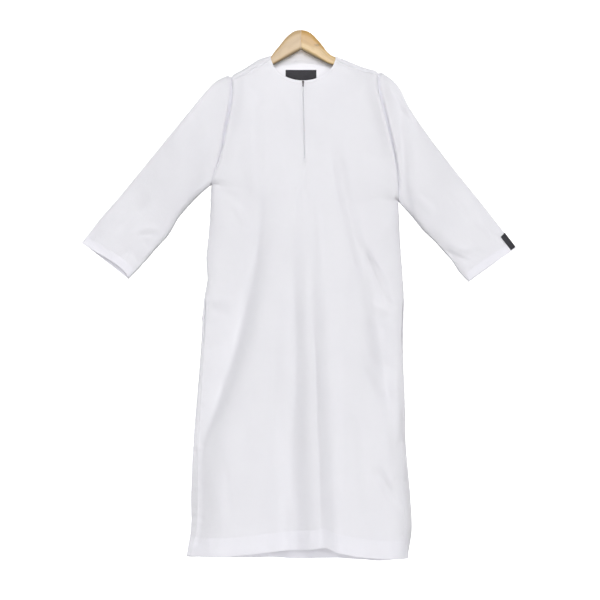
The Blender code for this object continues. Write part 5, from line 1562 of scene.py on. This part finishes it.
@dataclass
class Robe:
    """The robe's cloth, from the body and sleeves to the facings behind its edges."""

    form: RobeForm
    facing: float = 0.0006

    def __post_init__(self) -> None:
        """Makes the panels and sleeves that share the form."""
        self.front = FrontPanel(self.form, Face.FRONT)
        self.back = BackPanel(self.form, Face.BACK, front=self.front)
        self.sleeves = {side: Sleeve(self.form, side, self.front, self.back) for side in Side}

    def thickness(self, places: Array, down: Array, doubled_top: Array) -> Array:
        """How thick a panel is: hems and neck bands are folded double."""
        folded = ease((HEM_DEPTH - steps_up(places)) / 0.0015)
        band = np.where(doubled_top, ease((self.front.neck_band - down) / 0.001), 0)
        return self.front.cloth + self.front.hem_extra * np.maximum(folded, band)

    def build_front(self) -> None:
        """Builds the front panel and the stitching on it."""
        grid, plain = self.front.grid()
        down = steps_along(grid.places, 0)
        half = grid.places.shape[1] // 2
        step = np.concatenate((plain[Side.LEFT][1], plain[Side.RIGHT][1][:, ::-1]), axis=1)
        neck = step > self.front.shoulder_cells
        piece = shell("front_cloth", [grid], [self.thickness(grid.places, down, neck)])
        settle(piece, Finish.CLOTH, "front_panel")
        scoop = Grid(grid.places[:, neck[0]])
        lines = [scoop.line(self.front.neck_band, 0), grid.line(HEM_DEPTH, 0, steps_up(grid.places))]
        lines += self.zip_lines(grid, half)
        for side, part in ((Side.LEFT, slice(0, half)), (Side.RIGHT, slice(None, half - 1, -1))):
            places, flips = grid.places[:, part], side is Side.RIGHT
            lines.append(self.armhole_line(places, side, flips))
            rows = np.nonzero(self.form.mouth(-places[:, 0, 2]) > 0.0004)[0]
            lines.append(Grid(places[rows[0] : rows[-1] + 1], flips=flips).line(SEAM_STITCH, 1))
        threads = settle(Stitches().build("front_stitches", lines), Finish.THREAD)

    def zip_lines(self, grid: Grid, half: int) -> list[Line]:
        """The rows of stitches beside the zip, and the bar that closes them below its end.

        Args:
            grid: The front's outer face.
            half: Its first column to the right of the slit.

        Returns:
            The three lines.
        """
        lines = []
        for part in (slice(half - 1, None, -1), slice(half, None)):
            places = grid.places[:, part]
            rows = int(np.searchsorted(-places[:, 0, 2], self.form.zip_end + 0.01))
            side = Grid(places[:rows], flips=part.step is not None)
            lines.append(side.line(self.front.zip_stitch, 1))
        ends = [line[0][-1] for line in lines], [line[1][-1] for line in lines]
        t = np.linspace(0, 1, 6)[:, None]
        lines.append((mix(ends[0][0], ends[0][1], t), unit(mix(ends[1][0], ends[1][1], t))))
        return lines

    def build_back(self) -> None:
        """Builds the back panel with its strips over the shoulders, and the stitching on it."""
        grid, plain, rows = self.back.grid()
        down = steps_along(grid.places, 0) - steps_along(grid.places, 0)[rows : rows + 1]
        step = np.concatenate((plain[Side.LEFT][1], plain[Side.RIGHT][1][:, -2::-1]), axis=1)
        neck = (step > self.back.shoulder_cells) & (down >= 0)
        piece = shell("back_cloth", [grid], [self.thickness(grid.places, down, neck)])
        settle(piece, Finish.CLOTH, "back_panel")
        main = Grid(grid.places[rows:], flips=True)
        collar = Grid(main.places[:, neck[-1]], flips=True)
        lines = [collar.line(self.front.neck_band, 0), main.line(HEM_DEPTH, 0, steps_up(main.places))]
        neck_line, out = lines[0]
        inside = neck_line - out * (self.front.cloth + self.facing + 0.0004), -out
        middle = grid.places.shape[1] // 2
        for side, part in ((Side.LEFT, slice(0, middle)), (Side.RIGHT, slice(None, middle, -1))):
            lines.append(self.armhole_line(main.places[:, part], side, side is Side.LEFT))
        lines += [self.shoulder_line(plain[side][0], rows, side) for side in Side] + [inside]
        threads = settle(Stitches().build("back_stitches", lines), Finish.THREAD)

    def armhole_line(self, places: Array, side: Side, flips: bool) -> Line:
        """The row of stitches beside an armhole, on a half of a panel that starts at its side."""
        pit = int(np.searchsorted(-places[:, 0, 2], ARMPITS[side]))
        return Grid(places[:pit], flips=flips).line(SEAM_STITCH, 1)

    def shoulder_line(self, places: Array, rows: int, side: Side) -> Line:
        """The row of stitches over a shoulder, behind the seam in front of it."""
        edge = int(np.argmin(np.abs(places[0, :, 0] - SHOULDERS[side].rows[0][1])))
        return Grid(places[:rows, : edge + 1], flips=side is Side.LEFT).line(0.005, 0)

    def build_neck_facing(self) -> None:
        """Builds the band inside the back of the neck, with the overlocked edge below it."""
        halves = []
        t = np.array([0.012, 0.022, 0.036, 0.05, 0.064, 0.078, 0.0855, 0.0905, 0.096])[:, None]
        for side in Side:
            step = np.linspace(self.back.shoulder_cells + 0.35, self.back.cells, 26)[None]
            halves.append(self.back.upper(side, step, t))
        grid = Grid(np.concatenate((halves[0], halves[1][:, -2::-1]), axis=1))
        grid = Grid(grid.places + grid.outward() * 0.0015)
        run = steps_along(grid.places, 0)
        grid = grid.raised(-0.0003 * dent(run, float(run[:, 10].max()) - 0.004, 0.0014))
        piece = settle(shell("neck_facing_cloth", [grid], [self.facing]), Finish.CLOTH, "back_neck_facing")
        low = float(steps_along(grid.places, 0)[-1].min())
        edge = Stitches(0.0022, 0.0026).build("facing_stitches", [grid.line(low - 0.0035, 0)])
        settle(edge, Finish.THREAD)

    def build_pocket_facings(self) -> None:
        """Builds the strip of pocket cloth that shows behind each open mouth."""
        for side in Side:
            name = f"{side.word}_pocket"
            drop = np.linspace(0.812, 0.992, 37)[:, None]
            seam, along = self.form.seam(side, drop)
            out = unit(np.cross(along, np.array((0.0, 0.0, 1.0))) * side.value)
            out = out * np.where(out[..., :1] * side.value < 0, -1, 1)
            columns = []
            for reach, depth in ((-0.0015, 0.0026), (0.0015, 0.002), (0.0045, 0.0019), (0.008, 0.0021)):
                columns.append(seam[:, 0] + along[:, 0] * reach - out[:, 0] * depth)
            for inward in (0.013, 0.02, 0.028):
                x = seam[:, 0, 0] - side.value * inward
                y = self.form.surface_y(Face.FRONT, x, drop[:, 0]) + 0.0035
                columns.append(spot(x, y, drop[:, 0]))
            grid = Grid(np.stack(columns, axis=1), flips=side is Side.RIGHT)
            piece = settle(shell(f"{name}_cloth", [grid], [self.facing]), Finish.CLOTH, f"{name}_facing")


@dataclass
class Label:
    """A bare satin label, sewn all round on a piece of cloth, named as its solid is; its folded ends are left
    flat.
    """

    name: str
    cloth: float = 0.0005
    stitch: float = 0.0016

    def build(self, places: Array, on: str, flips: bool = False) -> None:
        """Builds the label and its stitching from the grid of its outer face.

        Args:
            places: The grid.
            on: The piece that it is sewn to; not used.
            flips: Whether the grid winds the other way.
        """
        grid = Grid(places, flips=flips)
        u, v = steps_along(places, 1), steps_along(places, 0)
        right, low = u[:, -1:] - u, v[-1:] - v
        edge = np.minimum(np.minimum(u, right), np.minimum(v, low))
        height = -0.0002 * dent(edge, self.stitch, 0.0006) - 0.00025 * dent(edge, 0, 0.0004)
        grid = grid.raised(height)
        piece = settle(shell(f"{self.name}_satin", [grid], [self.cloth]), Finish.LABEL, self.name)
        lines = [grid.line(self.stitch, axis, far) for axis, far in ((1, u), (1, right), (0, v), (0, low))]
        threads = Stitches(0.0018, 0.0024, 0.00016).build(f"{self.name}_stitches", lines)
        settle(threads, Finish.LABEL_THREAD)


def neck_label_places(form: RobeForm) -> Array:
    """The neck label's outer face, on the inside of the back."""
    x = np.linspace(-0.0455, 0.0426, 61)[None]
    drop = np.linspace(0.1823, 0.2273, 37)[:, None]
    ripple = 0.00025 * relief_of_noise(3.0 * x, 3.0 * drop, 71)
    return spot(x, form.surface_y(Face.BACK, x, drop) - 0.0024 - ripple, drop)


def cuff_label_places(sleeve: Sleeve) -> Array:
    """The cuff label's outer face, along the upper edge of the right sleeve at the cuff."""
    along, angle = np.linspace(0.885, 0.992, 45)[:, None], np.linspace(0.1, 0.66, 41)[None]
    return Grid(sleeve.point(along, angle), flips=True).raised(np.full((45, 41), 0.0013)).places


# Each row of the coil's loops: how far aside, how far back, and the way that the loops stand out
COIL_ROWS = (
    (-0.00042, 0.0005, (1.0, 0.0, 0.0)), (0.00042, 0.0005, (1.0, 0.0, 0.0)), (0.0, 0.0007, (0.0, -1.0, 0.0)),
)


@dataclass
class FrontZip:
    """The zip in the front slit: two tapes, the closed coil, and the solids' slider and pull."""

    form: RobeForm
    tape: float = 0.0006
    tape_width: float = 0.011
    set_back: float = 0.0012

    def middle(self, drop: Array, aside: Array) -> Array:
        """Places on the front's face at a distance to the side of the zip's line."""
        x = self.form.zip_x(drop) + aside
        return spot(x, self.form.surface_y(Face.FRONT, x, drop), drop)

    def build(self) -> None:
        """Builds the tapes and the coil, and finishes the slider and its pull."""
        drop = np.linspace(self.form.zip_top + 0.004, self.form.zip_end + 0.012, 90)[:, None]
        for side in Side:
            aside = np.linspace(self.form.slit_width / 2 - 0.0002, self.tape_width, 7)[None] * side.value
            places = self.middle(drop, aside)
            places[..., 1] += self.set_back
            grid = Grid(places, flips=side is Side.LEFT)
            piece = shell(f"tape_{side.word}", [grid], [self.tape])
            settle(piece, Finish.TAPE, f"zip_tape_{side.word}")
        drop = np.linspace(self.form.zip_top + 0.0035, self.form.zip_end - 0.001, 100)
        rows = []
        for aside, back, out in COIL_ROWS:
            places = self.middle(drop, np.full_like(drop, aside)) + np.array((0, back, 0))
            rows.append((places, np.tile(out, (len(drop), 1))))
        coil = Stitches(0.0013, 0.0014, 0.00042, 6).build("coil_loops", rows)
        settle(coil, Finish.COIL, "zip_coil")
        for node in ("zip_slider", "zip_pull_tab"):
            Finish.SLIDER.dress(bpy.data.objects[node])


@dataclass
class Hanger:
    """The contoured wooden hanger in the shoulders, and its wire hook."""

    form: RobeForm
    joint: float = -0.0015
    joint_gap: float = 0.0003
    seat: float = 0.0031
    ends: float = 0.93
    around: int = 44
    wire: float = 0.0019
    hook_radius: float = 0.02
    tip_angle: float = 196
    leaves_angle: float = -42
    stem_top: float = 0.05
    stem_end: float = 0.0712

    def stations(self, side: Side) -> Array:
        """X, top, underside and half thickness at many places along one arm.

        Args:
            side: Which arm.

        Returns:
            A row of those four values for each place.
        """
        arm, shoulder = ARMS[side], SHOULDERS[side]
        rows = [(self.joint + side.value * max(out, self.joint_gap / 2), *rest) for out, *rest in arm.rows]
        for along in self.ends * np.arange(8) / 7:
            top = float(shoulder.read("ridge", along)) + self.seat
            low, thick = top + mix(0.025, 0.0185, along), mix(0.009, 0.0062, along)
            rows.append((float(shoulder.read("out", along)), top, low, thick))
        reach = [abs(x - self.joint) for x, *_ in rows]
        table = Table(("reach", "x", "top", "low", "thick"), tuple((a, *row) for a, row in zip(reach, rows)))
        at = finer(reach, 5, (reach[0] + 0.0004, reach[0] + 0.0012))
        return np.stack([table.read(column, at) for column in table.columns[1:]], axis=1)

    def arm_object(self, name: str, side: Side) -> Thing:
        """Builds one arm, rounded on top and squarer below, with softened ends.

        Args:
            name: The piece's name.
            side: Which arm.

        Returns:
            The new object.
        """
        x, top, low, thick = self.stations(side).T[:, :, None]
        angle = 2 * pi * np.arange(self.around) / self.around
        power = np.where(np.cos(angle) > 0, 0.8, 0.45)
        ring_y = np.sign(np.sin(angle)) * np.abs(np.sin(angle)) ** power
        ring_up = np.sign(np.cos(angle)) * np.abs(np.cos(angle)) ** power
        squeeze = np.ones(len(x))
        squeeze[0], squeeze[1], squeeze[-1] = 0.955, 0.985, 0.8
        half = (low - top) / 2 * squeeze[:, None]
        y = self.form.sweep(x, top) + thick * squeeze[:, None] * ring_y
        places = spot(np.broadcast_to(x, y.shape), y, (top + low) / 2 - half * ring_up)
        grid = Grid(places, wraps=True, flips=side is Side.LEFT)
        rows, columns = places.shape[:2]
        number = np.arange(rows * columns).reshape(rows, columns)
        caps = [number[:1], number[-1:]]
        caps = [caps[0][:, ::-1], caps[1]] if side is Side.LEFT else [caps[0], caps[1][:, ::-1]]
        u = np.broadcast_to(np.abs(x - self.joint), y.shape)
        v = np.broadcast_to((angle * 0.011)[None], y.shape)
        uv = np.stack((u, np.abs(v - pi * 0.011)), axis=-1).reshape(-1, 2)
        return mesh_object(name, places.reshape(-1, 3), [grid.corners()] + caps, uv)

    def hook_route(self) -> list[Vector]:
        """The hook's centre line, from its tip over the bend and down the stem."""
        centre = self.wire - self.hook_radius
        turns = np.arange(self.tip_angle, self.leaves_angle, -3.5)
        radius = self.hook_radius
        route = [Vector((radius * cos(a), 0, centre + radius * sin(a))) for a in np.radians(turns)]
        leave = radians(float(turns[-1]))
        heading = Vector((sin(leave), 0, -cos(leave)))
        pull = self.hook_radius / 2
        first, second = route[-1] + heading * pull, Vector((0, 0, pull - self.stem_top))
        start, end = route[-1], Vector((0, 0, -self.stem_top))
        for t in np.linspace(0, 1, 19)[1:].tolist():
            s = 1 - t
            route.append(start * s**3 + first * 3 * t * s**2 + second * 3 * t**2 * s + end * t**3)
        return route + [Vector((0, 0, -self.stem_end))]

    def build(self) -> None:
        """Builds the arms and the hook."""
        settle(self.arm_object("arm_left_wood", Side.LEFT), Finish.LEFT_WOOD, "hanger_arm_left")
        settle(self.arm_object("arm_right_wood", Side.RIGHT), Finish.RIGHT_WOOD, "hanger_arm_right")
        curve = bpy.data.curves.new("hook_wire", "CURVE")
        curve.dimensions, curve.bevel_depth, curve.bevel_resolution = "3D", self.wire, 6
        curve.use_fill_caps = True
        route = self.hook_route()
        spline = curve.splines.new("POLY")
        spline.points.add(len(route) - 1)
        for place, knot in zip(route, spline.points):
            knot.co = (*place, 1)
        spline.points[0].radius, spline.points[1].radius = 0.72, 0.95
        settle(new_object("hook_wire", curve), Finish.STEEL, "hanger_hook")


@dataclass(frozen=True)
class Studio:
    """A plain white floor that curves up into a wall all round, soft lights and the camera."""

    eye: Place = (-0.0043, -4.5, -0.8398)
    lens: float = 94.96
    sensor: float = 36.0
    floor: float = -1.8
    flat: float = 6.6
    bend: float = 1.8
    high: float = 9.0
    sides: int = 96
    lamp_at: Place = (0.05, -3.2, 0.6)
    lamp_aim: Place = (0.0, 0.0, -0.8)
    lamp_size: float = 1.6
    lamp_power: float = 13.5
    from_below: float = 0.06
    from_above: float = 0.3

    def camera(self) -> None:
        """Makes the camera, level and square to the robe."""
        data = bpy.data.cameras.new("camera")
        data.lens, data.sensor_width, data.clip_end = self.lens, self.sensor, 60
        thing = new_object("camera", data)
        thing.location, thing.rotation_euler = self.eye, (pi / 2, 0, 0)
        bpy.context.scene.camera = thing

    def backdrop(self) -> None:
        """Makes the floor and the round wall, of white paper that glows with painted light, dim in front and
        bright behind the robe, and throws no light back on the robe.
        """
        turn = np.radians(np.linspace(0, 90, 16))
        out = np.concatenate(([0.002], self.flat + self.bend * np.sin(turn), [self.flat + self.bend]))
        up = np.concatenate(([0.0], self.bend * (1 - np.cos(turn)), [self.high]))
        round_by = np.linspace(0, 2 * pi, self.sides + 1)[:, None]
        places = spot(out * np.cos(round_by), out * np.sin(round_by), -(self.floor + up))
        grid = Grid(places)
        thing = mesh_object("backdrop", places.reshape(-1, 3), [grid.corners()], grid.sizes().reshape(-1, 2))
        thing.visible_diffuse = thing.visible_shadow = False
        r = Recipe("backdrop_paper")
        paper = r.ramp(r.noise(r.solid, 60.0), (0.3, (0.5, 0.5, 0.5)), (0.7, (0.53, 0.53, 0.53)))
        r.join(paper, "Base Color")
        # Painted glow: the paper's emission rises from dim in front to bright behind the robe.
        glow = r.spread(r.axis(r.solid, 1), 0.42, 0.98, From_Min=-6.0, From_Max=0.5)
        r.join(glow, "Emission Strength")
        r.set(Roughness=0.95, Specular_IOR_Level=0.1, Emission_Color=(1, 1, 1, 1))
        thing.data.materials.append(r.made)

    def lamp(self) -> None:
        """Makes the square soft lamp in front, above the robe's neck."""
        data = bpy.data.lights.new("lamp", "AREA")
        data.size, data.energy = self.lamp_size, self.lamp_power
        thing = new_object("lamp", data)
        thing.location, thing.visible_camera = self.lamp_at, False
        way = Vector(self.lamp_aim) - Vector(self.lamp_at)
        thing.rotation_euler = way.to_track_quat("-Z", "Y").to_euler()

    def sun(self, name: str, turn: float, rise: float, power: float, spread: float) -> None:
        """Makes a far soft light that falls evenly from neck to hem.

        Args:
            name: Its name.
            turn: How far it stands to the right of the front, in degrees.
            rise: How high, in degrees.
            power: Its strength.
            spread: How wide it looks, in degrees.
        """
        data = bpy.data.lights.new(name, "SUN")
        data.energy, data.angle = power, np.radians(spread)
        thing = new_object(name, data)
        thing.rotation_euler = (pi / 2 - np.radians(rise), 0, np.radians(turn))

    def air(self) -> None:
        """Makes the soft light from all round, stronger from above than from below."""
        r = Recipe("air", "worlds", "Background")
        r.set(Color=(0.985, 0.99, 1.0, 1))
        r.join(r.spread(r.axis(r.way, 2), self.from_below, self.from_above, From_Min=-1.0), "Strength")
        bpy.context.scene.world = r.made

    def build(self) -> None:
        """Makes the whole studio."""
        self.camera()
        self.backdrop()
        self.lamp()
        self.sun("key", 2, 14, 1.36, 28)
        self.sun("low_key", 1, -4, 1.18, 34)
        self.sun("back_key", 158, 32, 2.35, 20)
        self.sun("left_side", -112, 15, 0.9, 20)
        self.sun("right_side", 112, 15, 0.6, 20)
        self.air()
        bpy.context.scene.view_settings.view_transform = "Standard"


ARMS: dict[Side, Table] = {
    Side.LEFT: Table(("out", "top", "low", "thick"), (
        (0, 0.0716, 0.129, 0.0105), (0.017, 0.0748, 0.1382, 0.0105), (0.0313, 0.0836, 0.1461, 0.0105),
        (0.0455, 0.0968, 0.154, 0.0103), (0.0597, 0.115, 0.1618, 0.01), (0.0739, 0.132, 0.1692, 0.0095),
    )),
    Side.RIGHT: Table(("out", "top", "low", "thick"), (
        (0, 0.0716, 0.129, 0.0105), (0.017, 0.075, 0.138, 0.0105), (0.0313, 0.0836, 0.1456, 0.0105),
        (0.0455, 0.0977, 0.153, 0.0103), (0.06, 0.115, 0.1606, 0.01), (0.078, 0.1382, 0.1696, 0.0095),
    )),
}


def main() -> None:
    """Builds every piece in order."""
    logging.basicConfig(level=logging.INFO, format="%(message)s")
    Studio().build()
    form = RobeForm()
    robe = Robe(form)
    robe.build_front()
    robe.build_back()
    for sleeve in robe.sleeves.values():
        sleeve.build()
    robe.build_neck_facing()
    robe.build_pocket_facings()
    FrontZip(form).build()
    Label("neck_label").build(neck_label_places(form), "back_cloth")
    Label("cuff_label").build(cuff_label_places(robe.sleeves[Side.RIGHT]), "right_sleeve_cloth", True)
    Hanger(form).build()
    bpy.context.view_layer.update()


if __name__ == "__main__":
    main()
